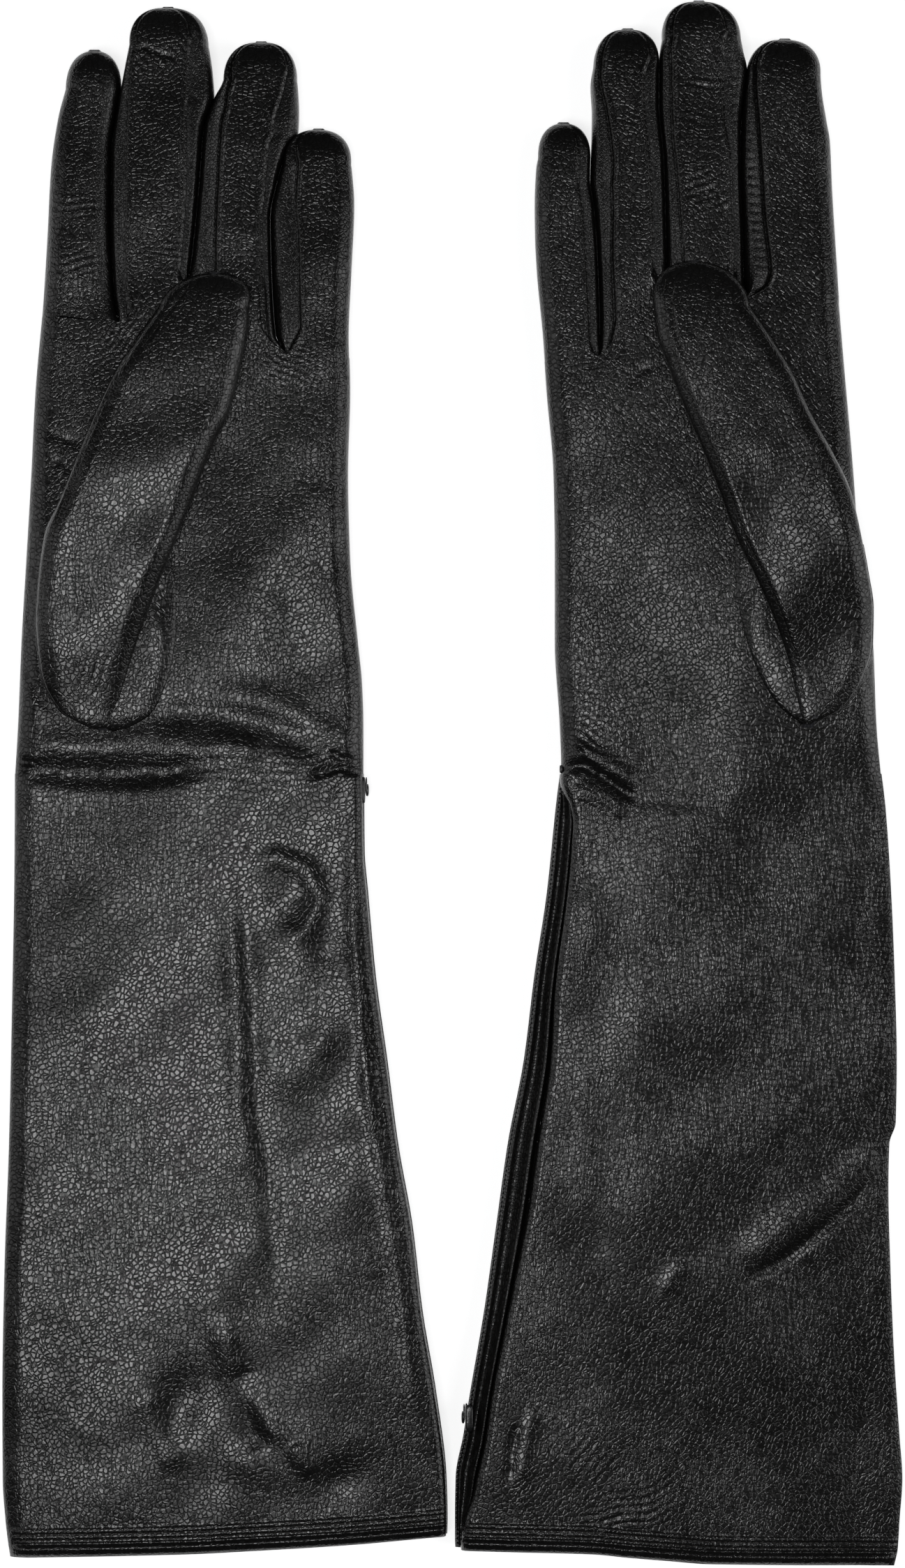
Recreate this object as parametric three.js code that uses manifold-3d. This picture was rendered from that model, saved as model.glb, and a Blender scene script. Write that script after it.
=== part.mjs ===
// A pair of elbow-length leather gloves, lying side by side with their palms up.
// Millimetres. +X runs across the pair, +Y from the arm openings to the fingertips, +Z up.
//
// One glove is drawn in its own plane: u grows from the pair's middle line towards the thumb,
// v grows towards the fingertips. The left glove is the same drawing turned over by a mirror.
// Each glove is an outer leather shell with a lining inside, both hollow and open at the arm.
import * as THREE from "three";
import { mergeVertices } from "three/addons/utils/BufferGeometryUtils.js";
import Module from "manifold-3d";

const wasm = await Module();
wasm.setup();

// ---- Walls and clearances
const LEATHER = 1.0; // outer leather
const LINING = 0.6; // knitted silk inside it
const GAP = 0.3; // between touching pieces

// ---- Thickness of a glove as it lies, and the rounding of its edges
const GLOVE_THICKNESS = 12;
const GLOVE_ROUNDING = 5;
const THUMB_THICKNESS = 10;
const THUMB_ROUNDING = 4;

// ---- Lengths along the hand
const WRIST_V = 6.8; // crease where the hand meets the sleeve
const FINGER_ROOT_OVERLAP = 24; // how far a finger's form runs down into the palm
const FINGERTIP_LENGTH = 11; // rounded end of a finger
const BEND_FROM_ROOT = { little: 18, ring: 25, middle: 27, index: 24 };

// ---- Side strips between the fingers, which are cut as three forks
const FORK_DEPTH = 1.6; // how far a side strip reaches in from the finger's side
const FORK_END_FROM_TIP = 9;
const FORK_WEB = 7; // depth of a fork's closed end below the finger gap

// ---- Thumb
const THUMB_PIVOT = { u: 97.2, v: 71.8 };
const THUMB_LEAN = THREE.MathUtils.degToRad(22.6); // towards the fingers
const THUMB_HOLE_MARGIN = 6; // from the thumb's outline to the hole in the palm
// The thumb's outline about its pivot: first figure towards the thumb side, second to its tip.
const THUMB_OUTLINE = [
  [17.4, 0],
  [17.2, 38],
  [15.3, 56],
  [12.2, 69],
  [7.5, 77.5],
  [0, 80],
  [-7.5, 77.5],
  [-12.2, 69],
  [-15.3, 56],
  [-17, 38],
  [-17.8, 0],
  [-25, -19],
  [-27, -37],
  [-20, -50],
  [-8, -52.6],
  [1, -47],
  [7.5, -38],
  [12.5, -27],
  [15.8, -14],
];

// ---- Hem and zip of the sleeve
const HEM_FACING_HEIGHT = 12;
const HEM_FACING_WALL = 0.8;
const TAPE_HEIGHT = 2.5;
const TAPE_THICKNESS = 0.8;
const TAPE_INSET = 0.6; // from the glove's edge to the tape's outer face
const TAPE_PARTING = 1.4; // between the two tapes
const SLIDER_LENGTH = 8;
const SLIDER_PLATE = 0.8;
const SLIDER_COVER = 2; // how far the slider's plates reach over each tape
const PULL_LENGTH = 3.6;
const PULL_REACH = 1.4; // how far the pull stands out of the glove's edge
const PULL_HEIGHT = 3;
const STOP_LENGTH = 2.4;
const ZIP_END_BELOW_WRIST = 1.2; // top of the zip stop below the wrist crease
const ZIP_SLOT = TAPE_PARTING + 2 * (TAPE_HEIGHT + GAP); // opening in the leather
const ZIP_SLOT_DEPTH = TAPE_INSET + TAPE_THICKNESS + SLIDER_PLATE;
const LINING_SLOT = ZIP_SLOT + 1;
const LINING_SLOT_DEPTH = ZIP_SLOT_DEPTH + LINING + 2 * GAP;

// ---- The two gloves as they lie. Edge stations are [share of the length, u].
// A finger's gap is to the finger before it, or from the middle line for the little finger.
// Its lean is in degrees away from the middle line, and the palm's outer edge ends at the index.
const GLOVES = {
  right: {
    mirror: 1,
    sleeveLength: { inner: 226.4, outer: 230.9 },
    palmLength: { inner: 112.2, outer: 131.2 },
    sleeveOuter: [
      [0, 122.6],
      [0.2, 126.2],
      [0.43, 127.5],
      [0.54, 125.1],
      [0.7, 126.2],
      [0.9, 129.1],
      [1, 127.6],
    ],
    sleeveInner: { wrist: 30.2, hem: 0.7 },
    palmOuter: [
      [0, 122.6],
      [0.2, 121],
      [0.42, 117.2],
    ],
    palmInner: [
      [0, 30.2],
      [0.5, 29.4],
    ],
    fingers: {
      little: { gap: 25.9, width: 16, rootV: 124.8, length: 64.4, lean: -2.05 },
      ring: { gap: 0.6, width: 19, rootV: 130.8, length: 85.4, lean: -1.2 },
      middle: { gap: 0.9, width: 21, rootV: 136.8, length: 87.4, lean: -1.65 },
      index: { gap: 1.2, width: 26, rootV: 139.8, length: 73.4, lean: -1.7 },
    },
    crotchV: [123, 131, 137],
    slider: { restV: -181.4 },
  },
  left: {
    mirror: -1,
    sleeveLength: { inner: 222.2, outer: 227.8 },
    palmLength: { inner: 113.2, outer: 125.2 },
    sleeveOuter: [
      [0, 125.5],
      [0.28, 126],
      [0.55, 127.7],
      [0.82, 129],
      [0.95, 128.4],
      [1, 127],
    ],
    sleeveInner: { wrist: 26.2, hem: 0.7 },
    palmOuter: [
      [0, 125.5],
      [0.25, 123.8],
      [0.75, 120],
    ],
    palmInner: [
      [0, 26.2],
      [0.3, 27.2],
      [0.6, 30],
    ],
    fingers: {
      little: { gap: 30, width: 19.6, rootV: 128.8, length: 58.6, lean: -1.35 },
      ring: { gap: 4.2, width: 19.8, rootV: 133.8, length: 78.9, lean: -4.95 },
      middle: { gap: 1, width: 21.4, rootV: 136.8, length: 85.7, lean: -2.7 },
      index: { gap: 0.7, width: 20.8, rootV: 133.8, length: 76.2, lean: -2.1 },
    },
    crotchV: [123.6, 130, 131],
    slider: { restV: -1.6 },
  },
};

// ---- Fineness of the curved outlines
const EDGE_STEPS = 8;
const TIP_STEPS = 3;
const THUMB_STEPS = 30;
const BEVEL_STEPS = 2;
const LINING_BEVEL_STEPS = 1;
const FAR = 400; // half-space cutters reach this far
const MERGE_TOLERANCE = 1e-3;

// ---- Finishes
const nappa = new THREE.MeshStandardMaterial({ color: 0x1d1b1a, roughness: 0.42, metalness: 0 });
const forkNappa = new THREE.MeshStandardMaterial({ color: 0x171615, roughness: 0.46, metalness: 0 });
const silk = new THREE.MeshStandardMaterial({ color: 0x2b2a2c, roughness: 0.6, metalness: 0 });
const facing = new THREE.MeshStandardMaterial({ color: 0x222020, roughness: 0.5, metalness: 0 });
const tapeCloth = new THREE.MeshStandardMaterial({ color: 0x141414, roughness: 0.85, metalness: 0 });
const blackMetal = new THREE.MeshStandardMaterial({ color: 0x202124, roughness: 0.35, metalness: 1 });

// ---- Solids ------------------------------------------------------------------------------

/** A manifold solid from a closed geometry, moved by a matrix where one is given. */
function solidOf(geometry, matrix) {
  const loose = geometry.index ? geometry.toNonIndexed() : geometry.clone();
  loose.deleteAttribute("normal");
  loose.deleteAttribute("uv");
  if (matrix) loose.applyMatrix4(matrix);
  const merged = mergeVertices(loose, MERGE_TOLERANCE);
  const vertProperties = merged.attributes.position.array;
  const triVerts = new Uint32Array(merged.index.array);
  return new wasm.Manifold(new wasm.Mesh({ numProp: 3, vertProperties, triVerts }));
}

/** A named mesh of one solid. */
function piece(name, solid, material) {
  const mesh = solid.getMesh();
  const positions = new Float32Array(mesh.numVert * 3);
  for (let i = 0; i < mesh.numVert; i++) {
    positions.set(mesh.vertProperties.subarray(i * mesh.numProp, i * mesh.numProp + 3), i * 3);
  }
  const geometry = new THREE.BufferGeometry();
  geometry.setAttribute("position", new THREE.BufferAttribute(positions, 3));
  geometry.setIndex(new THREE.BufferAttribute(mesh.triVerts, 1));
  geometry.computeVertexNormals();
  const made = new THREE.Mesh(geometry, material);
  made.name = name;
  return made;
}

/** A cushion-like solid: an outline of the given thickness with round edges, shrunk by inset. */
function pillow(shape, form, inset, matrix, bevelSegments = BEVEL_STEPS) {
  const geometry = new THREE.ExtrudeGeometry(shape, {
    depth: form.thickness - 2 * form.rounding,
    bevelEnabled: true,
    bevelThickness: form.rounding - inset,
    bevelSize: form.rounding - inset,
    bevelOffset: -form.rounding,
    bevelSegments,
    curveSegments: TIP_STEPS,
  });
  geometry.translate(0, 0, form.floor + form.rounding);
  return solidOf(geometry, matrix);
}

/** A straight-sided solid over an outline, from one height to another. */
function prism(shape, low, high, matrix) {
  const geometry = new THREE.ExtrudeGeometry(shape, {
    depth: high - low,
    bevelEnabled: false,
    curveSegments: TIP_STEPS,
  });
  geometry.translate(0, 0, low);
  return solidOf(geometry, matrix);
}

/** A box from its lowest corner to its highest. */
function block(low, high, matrix) {
  const size = high.map((value, axis) => value - low[axis]);
  const geometry = new THREE.BoxGeometry(...size);
  geometry.translate(...low.map((value, axis) => value + size[axis] / 2));
  return solidOf(geometry, matrix);
}

/** Everything in front of v = from in a local frame, or behind it. */
const ahead = (from, matrix) => block([-FAR, from, -FAR], [FAR, FAR, FAR], matrix);
const behind = (to, matrix) => block([-FAR, -FAR, -FAR], [FAR, to, FAR], matrix);

/** The matrix of a group placed at (u, v) and turned so that its +Y leans by an angle to +u. */
function frameAt(u, v, lean) {
  const frame = new THREE.Group();
  frame.position.set(u, v, 0);
  frame.rotation.z = -lean;
  frame.updateMatrix();
  return frame;
}

/** Smooth interpolation of [position, value] stations. */
function rail(stations) {
  const positions = stations.map((station) => station[0]);
  const values = stations.map((station) => station[1]);
  const curve = new THREE.CubicInterpolant(positions, values, 1, new Float32Array(1));
  return (position) => curve.evaluate(position)[0];
}

/** Points of a rail, with v worked out from each station's share of a length. */
function edgePoints(stations, vAt) {
  const at = rail(stations);
  return Array.from({ length: EDGE_STEPS + 1 }, (_, step) => {
    const share = step / EDGE_STEPS;
    return new THREE.Vector2(at(share), vAt(share));
  });
}

// ---- Forms of one glove -----------------------------------------------------------------

const GLOVE_FORM = { thickness: GLOVE_THICKNESS, rounding: GLOVE_ROUNDING, floor: 0 };
const THUMB_FORM = {
  thickness: THUMB_THICKNESS,
  rounding: THUMB_ROUNDING,
  floor: GLOVE_THICKNESS + GAP,
};
const LINING_INSET = LEATHER + GAP;
const CAVITY_INSET = LINING_INSET + LINING;

/** Where a finger bends, its direction and its lengths each way from the bend. */
function fingerLayout(name, finger, rootU) {
  const { length, rootV } = finger;
  const lean = THREE.MathUtils.degToRad(finger.lean);
  const bend = BEND_FROM_ROOT[name];
  const group = frameAt(rootU + bend * Math.sin(lean), rootV + bend * Math.cos(lean), lean);
  const half = finger.width / 2;
  const start = -bend - FINGER_ROOT_OVERLAP;
  const shape = new THREE.Shape();
  shape.moveTo(half, start);
  shape.lineTo(half, length - bend - FINGERTIP_LENGTH);
  shape.absellipse(0, length - bend - FINGERTIP_LENGTH, half, FINGERTIP_LENGTH, 0, Math.PI, false);
  shape.lineTo(-half, start);
  return { name, rootU, group, half, bend, shape, reach: length - bend };
}

/** The fingers side by side, from the little finger to the index. */
function fingerRow(spec) {
  let edge = 0;
  return Object.entries(spec.fingers).map(([name, finger]) => {
    edge += finger.gap;
    const laid = fingerLayout(name, finger, edge + finger.width / 2);
    edge += finger.width;
    return laid;
  });
}

/** Each pair of neighbouring fingers with the point where the leather between them begins. */
function neighbours(spec, fingers) {
  return spec.crotchV.map((v, i) => {
    const [inner, outer] = [fingers[i], fingers[i + 1]];
    const u = (inner.rootU + inner.half + outer.rootU - outer.half) / 2;
    return { inner, outer, u, v };
  });
}

/** Outline of sleeve and palm in one, longer than both so that the ends are cut off square. */
function armShape(spec, fingers, crotches) {
  const longest = Math.max(spec.sleeveLength.inner, spec.sleeveLength.outer);
  const overrun = 3 * GLOVE_ROUNDING;
  const hemV = WRIST_V - longest - overrun;
  const sleeveV = (share) => WRIST_V - share * spec.sleeveLength.outer;
  const outerPalmV = (share) => WRIST_V + share * spec.palmLength.outer;
  const innerPalmV = (share) => WRIST_V + share * spec.palmLength.inner;
  const outerSleeve = edgePoints(spec.sleeveOuter, sleeveV).reverse();
  const little = fingers[0];
  const index = fingers.at(-1);
  const outerStations = [...spec.palmOuter, [1, index.rootU + index.half]];
  const innerStations = [...spec.palmInner, [1, little.rootU - little.half]];
  const outerPalm = edgePoints(outerStations, outerPalmV).slice(1);
  const innerPalm = edgePoints(innerStations, innerPalmV).reverse();
  const web = crotches.map(({ u, v }) => new THREE.Vector2(u, v)).reverse();
  const slope = (spec.sleeveInner.wrist - spec.sleeveInner.hem) / spec.sleeveLength.inner;
  const innerEnd = spec.sleeveInner.wrist - slope * (longest + overrun);
  return new THREE.Shape([
    new THREE.Vector2(outerSleeve[0].x, hemV),
    ...outerSleeve,
    ...outerPalm,
    ...web,
    ...innerPalm,
    new THREE.Vector2(innerEnd, hemV),
  ]);
}

/** Everything on the arm side of the hem, moved up by a height. */
function belowHem(spec, height) {
  const inner = WRIST_V - spec.sleeveLength.inner + height;
  const outer = WRIST_V - spec.sleeveLength.outer + height;
  const hemU = spec.sleeveOuter.at(-1)[1];
  const slope = (outer - inner) / (hemU - spec.sleeveInner.hem);
  const lineAt = (u) => inner + slope * (u - spec.sleeveInner.hem);
  const shape = new THREE.Shape([
    new THREE.Vector2(-FAR, -2 * FAR),
    new THREE.Vector2(FAR, -2 * FAR),
    new THREE.Vector2(FAR, lineAt(FAR)),
    new THREE.Vector2(-FAR, lineAt(-FAR)),
  ]);
  return prism(shape, -FAR, FAR);
}

/** A hollow form: the outline's pillow at one inset less the same at a deeper one. */
function shell(makeForm, inset, wall) {
  return makeForm(inset).subtract(makeForm(inset + wall));
}

// ---- Sleeve -------------------------------------------------------------------------------

/** The zip's own frame: origin at the hem, +Y along the edge to the wrist, +X into the glove. */
function zipLayout(spec) {
  const { wrist, hem } = spec.sleeveInner;
  const hemV = WRIST_V - spec.sleeveLength.inner;
  const lean = Math.atan2(wrist - hem, WRIST_V - hemV);
  const group = frameAt(hem, hemV, lean);
  const length = Math.hypot(wrist - hem, WRIST_V - hemV);
  return { group, lean, length, hemV };
}

function sleevePieces(side, spec, armForm, zip) {
  const cutEnds = (solid) =>
    solid.intersect(behind(WRIST_V - GAP)).subtract(belowHem(spec, 0));
  const middle = GLOVE_THICKNESS / 2;
  const slot = (height, depth) =>
    block(
      [-FAR, -FAR, middle - height / 2],
      [depth, FAR, middle + height / 2],
      zip.group.matrix,
    );
  const leather = cutEnds(shell((inset) => armForm(inset), 0, LEATHER));
  const liningShell = cutEnds(shell((inset) => armForm(inset), LINING_INSET, LINING));
  const hemShell = cutEnds(shell((inset) => armForm(inset), LINING_INSET, HEM_FACING_WALL));
  const openLining = slot(LINING_SLOT, LINING_SLOT_DEPTH);
  return [
    piece(`${side}_gauntlet`, leather.subtract(slot(ZIP_SLOT, ZIP_SLOT_DEPTH)), nappa),
    piece(
      `${side}_gauntlet_lining`,
      liningShell.subtract(belowHem(spec, HEM_FACING_HEIGHT + GAP)).subtract(openLining),
      silk,
    ),
    piece(
      `${side}_hem_facing`,
      hemShell.intersect(belowHem(spec, HEM_FACING_HEIGHT)).subtract(openLining),
      facing,
    ),
  ];
}

/** Tapes, stop and slider, all built in the zip's own frame. */
function zipPieces(side, spec, zip) {
  const middle = GLOVE_THICKNESS / 2;
  const parting = TAPE_PARTING / 2;
  const face = TAPE_INSET + TAPE_THICKNESS;
  const end = zip.length - ZIP_END_BELOW_WRIST;
  const tapeEnd = end - STOP_LENGTH - GAP;
  const tape = (low, high) => block([TAPE_INSET, GAP, low], [face, tapeEnd, high]);
  const stop = block(
    [TAPE_INSET, end - STOP_LENGTH, middle - parting - TAPE_HEIGHT],
    [face, end, middle + parting + TAPE_HEIGHT],
  );
  const alongAt = (spec.slider.restV - zip.hemV) / Math.cos(zip.lean);
  const plate = (near) =>
    block(
      [near, alongAt - SLIDER_LENGTH / 2, middle - parting - SLIDER_COVER],
      [near + SLIDER_PLATE, alongAt + SLIDER_LENGTH / 2, middle + parting + SLIDER_COVER],
    );
  const outerPlate = TAPE_INSET - GAP - SLIDER_PLATE;
  const innerPlate = face + GAP;
  const post = block(
    [outerPlate, alongAt - SLIDER_LENGTH / 4, middle - parting + GAP],
    [innerPlate + SLIDER_PLATE, alongAt + SLIDER_LENGTH / 4, middle + parting - GAP],
  );
  const pull = block(
    [-PULL_REACH, alongAt - PULL_LENGTH / 2, middle - PULL_HEIGHT / 2],
    [outerPlate + SLIDER_PLATE, alongAt + PULL_LENGTH / 2, middle + PULL_HEIGHT / 2],
  );
  const slider = plate(outerPlate).add(plate(innerPlate)).add(post).add(pull);
  return [
    piece(`${side}_zip_tape_palm`, tape(middle + parting, middle + parting + TAPE_HEIGHT), tapeCloth),
    piece(`${side}_zip_tape_back`, tape(middle - parting - TAPE_HEIGHT, middle - parting), tapeCloth),
    piece(`${side}_zip_stop`, stop, blackMetal),
    piece(`${side}_zip_slider`, slider, blackMetal),
  ];
}

// ---- Hand, fingers and thumb ----------------------------------------------------------------

/** Cutter of one side strip of a finger, in the finger's frame. A margin widens it. */
function sideCutter(finger, direction, margin, matrix) {
  const inside = finger.half - FORK_DEPTH - margin;
  const outside = finger.half + margin + GAP;
  const low = -finger.bend - FORK_WEB - margin;
  const high = finger.reach - FORK_END_FROM_TIP + margin;
  const edges = [direction * inside, direction * outside].sort((a, b) => a - b);
  return block([edges[0], low, -FAR], [edges[1], high, FAR], matrix);
}

/** Cutter of the whole fork between two fingers: both side strips and the web joining them. */
function forkCutter({ inner, outer, u, v }, margin) {
  const strips = sideCutter(inner, 1, margin, inner.group.matrix).add(
    sideCutter(outer, -1, margin, outer.group.matrix),
  );
  const reach = (inner.half + outer.half) / 4; // the web ends half way to the fingers' middles
  const web = block(
    [u - reach - margin, v - FORK_DEPTH - margin, -FAR],
    [u + reach + margin, v + FORK_WEB, FAR],
  );
  return strips.add(web);
}

function thumbShape() {
  const points = THUMB_OUTLINE.map(([p, s]) => new THREE.Vector2(p, s));
  const closed = new THREE.CatmullRomCurve3(
    points.map((point) => new THREE.Vector3(point.x, point.y, 0)),
    true,
  );
  return new THREE.Shape(
    closed.getSpacedPoints(THUMB_STEPS).slice(0, -1).map(({ x, y }) => new THREE.Vector2(x, y)),
  );
}

/** The part of the thumb's base that is open to the palm below it. */
function thumbHole(shape, margin) {
  const geometry = new THREE.ExtrudeGeometry(shape, {
    depth: 2 * THUMB_ROUNDING,
    bevelEnabled: true,
    bevelThickness: GAP,
    bevelSize: 0,
    bevelOffset: -margin,
    bevelSegments: 1,
  });
  geometry.translate(0, 0, GLOVE_THICKNESS - THUMB_ROUNDING - GAP);
  return solidOf(geometry).intersect(behind(-margin));
}

function handPieces(side, armForm, fingers, crotches, thumb) {
  const cutFingers = (solid, offset) =>
    fingers.reduce(
      (rest, finger) =>
        rest.subtract(
          block(
            [-finger.half - GAP / 2, offset, -FAR],
            [finger.half + GAP / 2, FAR, FAR],
            finger.group.matrix,
          ),
        ),
      solid,
    );
  const whole = (inset, steps) =>
    fingers.reduce(
      (sum, finger) => sum.add(pillow(finger.shape, GLOVE_FORM, inset, finger.group.matrix, steps)),
      armForm(inset, steps),
    );
  const trim = (solid) => cutFingers(solid.intersect(ahead(WRIST_V)), -GAP);
  const leather = trim(shell((inset) => whole(inset, BEVEL_STEPS), 0, LEATHER));
  const lining = trim(shell((inset) => whole(inset, LINING_BEVEL_STEPS), LINING_INSET, LINING));
  const forks = crotches.map((crotch) =>
    piece(
      `${side}_fork_${crotch.outer.name}_${crotch.inner.name}`,
      leather.intersect(forkCutter(crotch, 0)),
      forkNappa,
    ),
  );
  const holed = crotches.reduce(
    (rest, crotch) => rest.subtract(forkCutter(crotch, GAP)),
    leather,
  );
  const hole = thumbHole(thumb.shape, THUMB_HOLE_MARGIN).transform(thumb.group.matrix.elements);
  return [
    piece(`${side}_trank`, holed.subtract(hole), nappa),
    piece(`${side}_hand_lining`, lining.subtract(hole), silk),
    ...forks,
  ];
}

/** The end of one finger beyond its bend: leather, side strips and lining, in its own group. */
function fingerGroup(side, finger, stripSides) {
  const form = (inset, steps) => pillow(finger.shape, GLOVE_FORM, inset, undefined, steps);
  const outer = shell((inset) => form(inset, BEVEL_STEPS), 0, LEATHER).intersect(ahead(GAP));
  const inner = shell((inset) => form(inset, LINING_BEVEL_STEPS), LINING_INSET, LINING);
  const cutters = (margin) =>
    stripSides.map(([, direction]) => sideCutter(finger, direction, margin));
  const leather = cutters(GAP).reduce((rest, cutter) => rest.subtract(cutter), outer);
  const strips = cutters(0).map((cutter, i) =>
    piece(
      `${side}_${finger.name}_strip_${stripSides[i][0]}`,
      outer.intersect(cutter),
      forkNappa,
    ),
  );
  finger.group.add(
    piece(`${side}_${finger.name}_sheath`, leather, nappa),
    piece(`${side}_${finger.name}_lining`, inner.intersect(ahead(GAP)), silk),
    ...strips,
  );
  return finger.group;
}

function thumbGroup(side, thumb) {
  const form = (inset, steps) => pillow(thumb.shape, THUMB_FORM, inset, undefined, steps);
  const leather = shell((inset) => form(inset, BEVEL_STEPS), 0, LEATHER);
  const lining = shell((inset) => form(inset, LINING_BEVEL_STEPS), LINING_INSET, LINING);
  const hole = thumbHole(thumb.shape, THUMB_HOLE_MARGIN);
  thumb.group.add(
    piece(`${side}_thumb_base`, leather.intersect(behind(0)).subtract(hole), nappa),
    piece(`${side}_thumb_sheath`, leather.intersect(ahead(GAP)), nappa),
    piece(`${side}_thumb_lining`, lining.intersect(ahead(GAP)), silk),
  );
  return thumb.group;
}

// ---- One glove and the pair -------------------------------------------------------------

function glove(side) {
  const spec = GLOVES[side];
  const group = new THREE.Group();
  group.scale.x = spec.mirror;
  const fingers = fingerRow(spec);
  const crotches = neighbours(spec, fingers);
  const arm = armShape(spec, fingers, crotches);
  const armForm = (inset, steps) => pillow(arm, GLOVE_FORM, inset, undefined, steps);
  const zip = zipLayout(spec);
  const thumb = {
    shape: thumbShape(),
    group: frameAt(THUMB_PIVOT.u, THUMB_PIVOT.v, -THUMB_LEAN),
  };
  zip.group.add(...zipPieces(side, spec, zip));
  group.add(
    ...sleevePieces(side, spec, armForm, zip),
    zip.group,
    ...handPieces(side, armForm, fingers, crotches, thumb),
    thumbGroup(side, thumb),
  );
  fingers.forEach((finger, i) => {
    const strips = [];
    if (i > 0) strips.push(["inner", -1]);
    if (i < fingers.length - 1) strips.push(["outer", 1]);
    group.add(fingerGroup(side, finger, strips));
  });
  return group;
}

const gloves = new THREE.Group();
gloves.add(glove("left"), glove("right"));

// The origin is at the middle of the pair's footprint, on the surface that it lies on.
const box = new THREE.Box3().setFromObject(gloves, true);
const centre = box.getCenter(new THREE.Vector3());
gloves.position.set(-centre.x, -centre.y, -box.min.z);

export default gloves;
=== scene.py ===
"""A pair of elbow-length opera gloves in black nappa leather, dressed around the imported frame.

One glove is drawn in its own plane in millimetres: u grows from the pair's middle line towards
the thumb, v grows towards the fingertips, z is height over the table. The left glove is the
same drawing turned over. Every leather piece takes the height of its upper side from one
relief for the whole glove, so that neighbouring pieces meet without a step.
"""
import logging
import math
from dataclasses import dataclass, field
from enum import Enum
from typing import Callable, Sequence

import bmesh
import bpy
import numpy as np
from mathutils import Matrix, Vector


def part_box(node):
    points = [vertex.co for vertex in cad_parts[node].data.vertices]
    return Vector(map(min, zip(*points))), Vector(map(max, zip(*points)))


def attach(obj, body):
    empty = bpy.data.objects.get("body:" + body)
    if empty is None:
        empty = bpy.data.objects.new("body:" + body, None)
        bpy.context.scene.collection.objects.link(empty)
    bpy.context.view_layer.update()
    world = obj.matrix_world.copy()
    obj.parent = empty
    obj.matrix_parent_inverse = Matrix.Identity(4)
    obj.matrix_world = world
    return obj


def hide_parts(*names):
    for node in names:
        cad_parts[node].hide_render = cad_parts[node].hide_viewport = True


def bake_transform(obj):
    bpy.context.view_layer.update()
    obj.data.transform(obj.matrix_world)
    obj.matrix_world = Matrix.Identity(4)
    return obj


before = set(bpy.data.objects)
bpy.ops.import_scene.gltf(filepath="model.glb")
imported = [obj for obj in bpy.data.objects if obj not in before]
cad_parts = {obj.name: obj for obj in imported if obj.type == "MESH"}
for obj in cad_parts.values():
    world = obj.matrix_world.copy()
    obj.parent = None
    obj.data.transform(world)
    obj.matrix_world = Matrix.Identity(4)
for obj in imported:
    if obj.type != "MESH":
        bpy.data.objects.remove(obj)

log = logging.getLogger("opera_gloves")

MM = 0.001
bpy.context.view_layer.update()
Line = Sequence[tuple[float, float]]
Grid = tuple[np.ndarray, np.ndarray, np.ndarray]

# ---- Sizes shared by both gloves, in millimetres
MID_Z = 6.0  # height of the glove's side edges
TOP_Z = 11.2  # height of the flat upper side
FLOOR_Z = 0.12  # height of the underside
EDGE_LIP = 0.5  # half height of a side wall where two edges face each other
SIDE_ROLL = 5.5  # how far a folded side edge rounds into the flat
HAND_START_V = 2.9  # where the hand's leather joins the sleeve's
UNDER_PALM_Z = 12.1  # the thumb lies on the palm at this height
LOWEST_TOP_Z = MID_Z + 1.2  # the relief never sinks the upper side below this
HIGHEST_TOP_Z = 12.9  # nor raises it above this
WELD = 0.004  # points nearer than this are one point
HEM_V = -218.0  # the hem lies about here, and follows its own line
SLEEVE_LENGTH = 225.0  # from wrist to hem, near enough to space the rows by
SEED = 11


class Hand(Enum):
    """Which hand a glove is for, with the sign of its side of the pair."""

    LEFT = -1
    RIGHT = 1

    @property
    def word(self) -> str:
        """The hand's name as the pieces use it."""
        return self.name.lower()


# =============================================================== numbers and lines
def rail(stations: Line, at: np.ndarray) -> np.ndarray:
    """Smooth curve through stations that never swings past them.

    A cubic between neighbouring stations, whose slope at each is the harmonic mean of the
    two chords that meet there, and level where they change sign.

    Args:
        stations: (place, value) pairs in rising order of place.
        at: places to read.

    Returns:
        The value at each place, held level beyond the ends.
    """
    x, y = np.array(stations, float).T
    chord = np.diff(y) / np.diff(x)
    product = chord[1:] * chord[:-1]
    total = chord[1:] + chord[:-1]
    mean = np.where(product > 0, 2 * product / np.where(product > 0, total, 1), 0)
    slope = np.concatenate([chord[:1], mean, chord[-1:]])
    i = np.clip(np.searchsorted(x, at) - 1, 0, len(x) - 2)
    h = x[i + 1] - x[i]
    t = np.clip((at - x[i]) / h, 0, 1)
    rise = y[i + 1] - y[i]
    a, b = slope[i] * h, slope[i + 1] * h
    return y[i] + t * a + t**2 * (3 * rise - 2 * a - b) + t**3 * (a + b - 2 * rise)


def rail_at(stations: Line, place: float) -> float:
    """The rail's value at one place."""
    return float(rail(stations, np.array(place)))


def turned(u: np.ndarray, v: np.ndarray, centre: tuple[float, float], degrees: float) -> list[np.ndarray]:
    """Coordinates about a centre, along and across a direction turned from the u axis.

    Args:
        u: places across the glove.
        v: places along the glove.
        centre: the centre, (u, v).
        degrees: how far the direction is turned.

    Returns:
        Distances along and across.
    """
    c, s = math.cos(math.radians(degrees)), math.sin(math.radians(degrees))
    du, dv = u - centre[0], v - centre[1]
    return [du * c + dv * s, dv * c - du * s]


def as_cloud(grid: Grid) -> np.ndarray:
    """The points of three coordinate grids, one point to a line."""
    return np.stack([a.ravel() for a in grid], axis=1)


def smooth(t: np.ndarray) -> np.ndarray:
    """Eased step from 0 to 1, level at both ends."""
    t = np.clip(t, 0, 1)
    return t * t * (3 - 2 * t)


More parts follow.
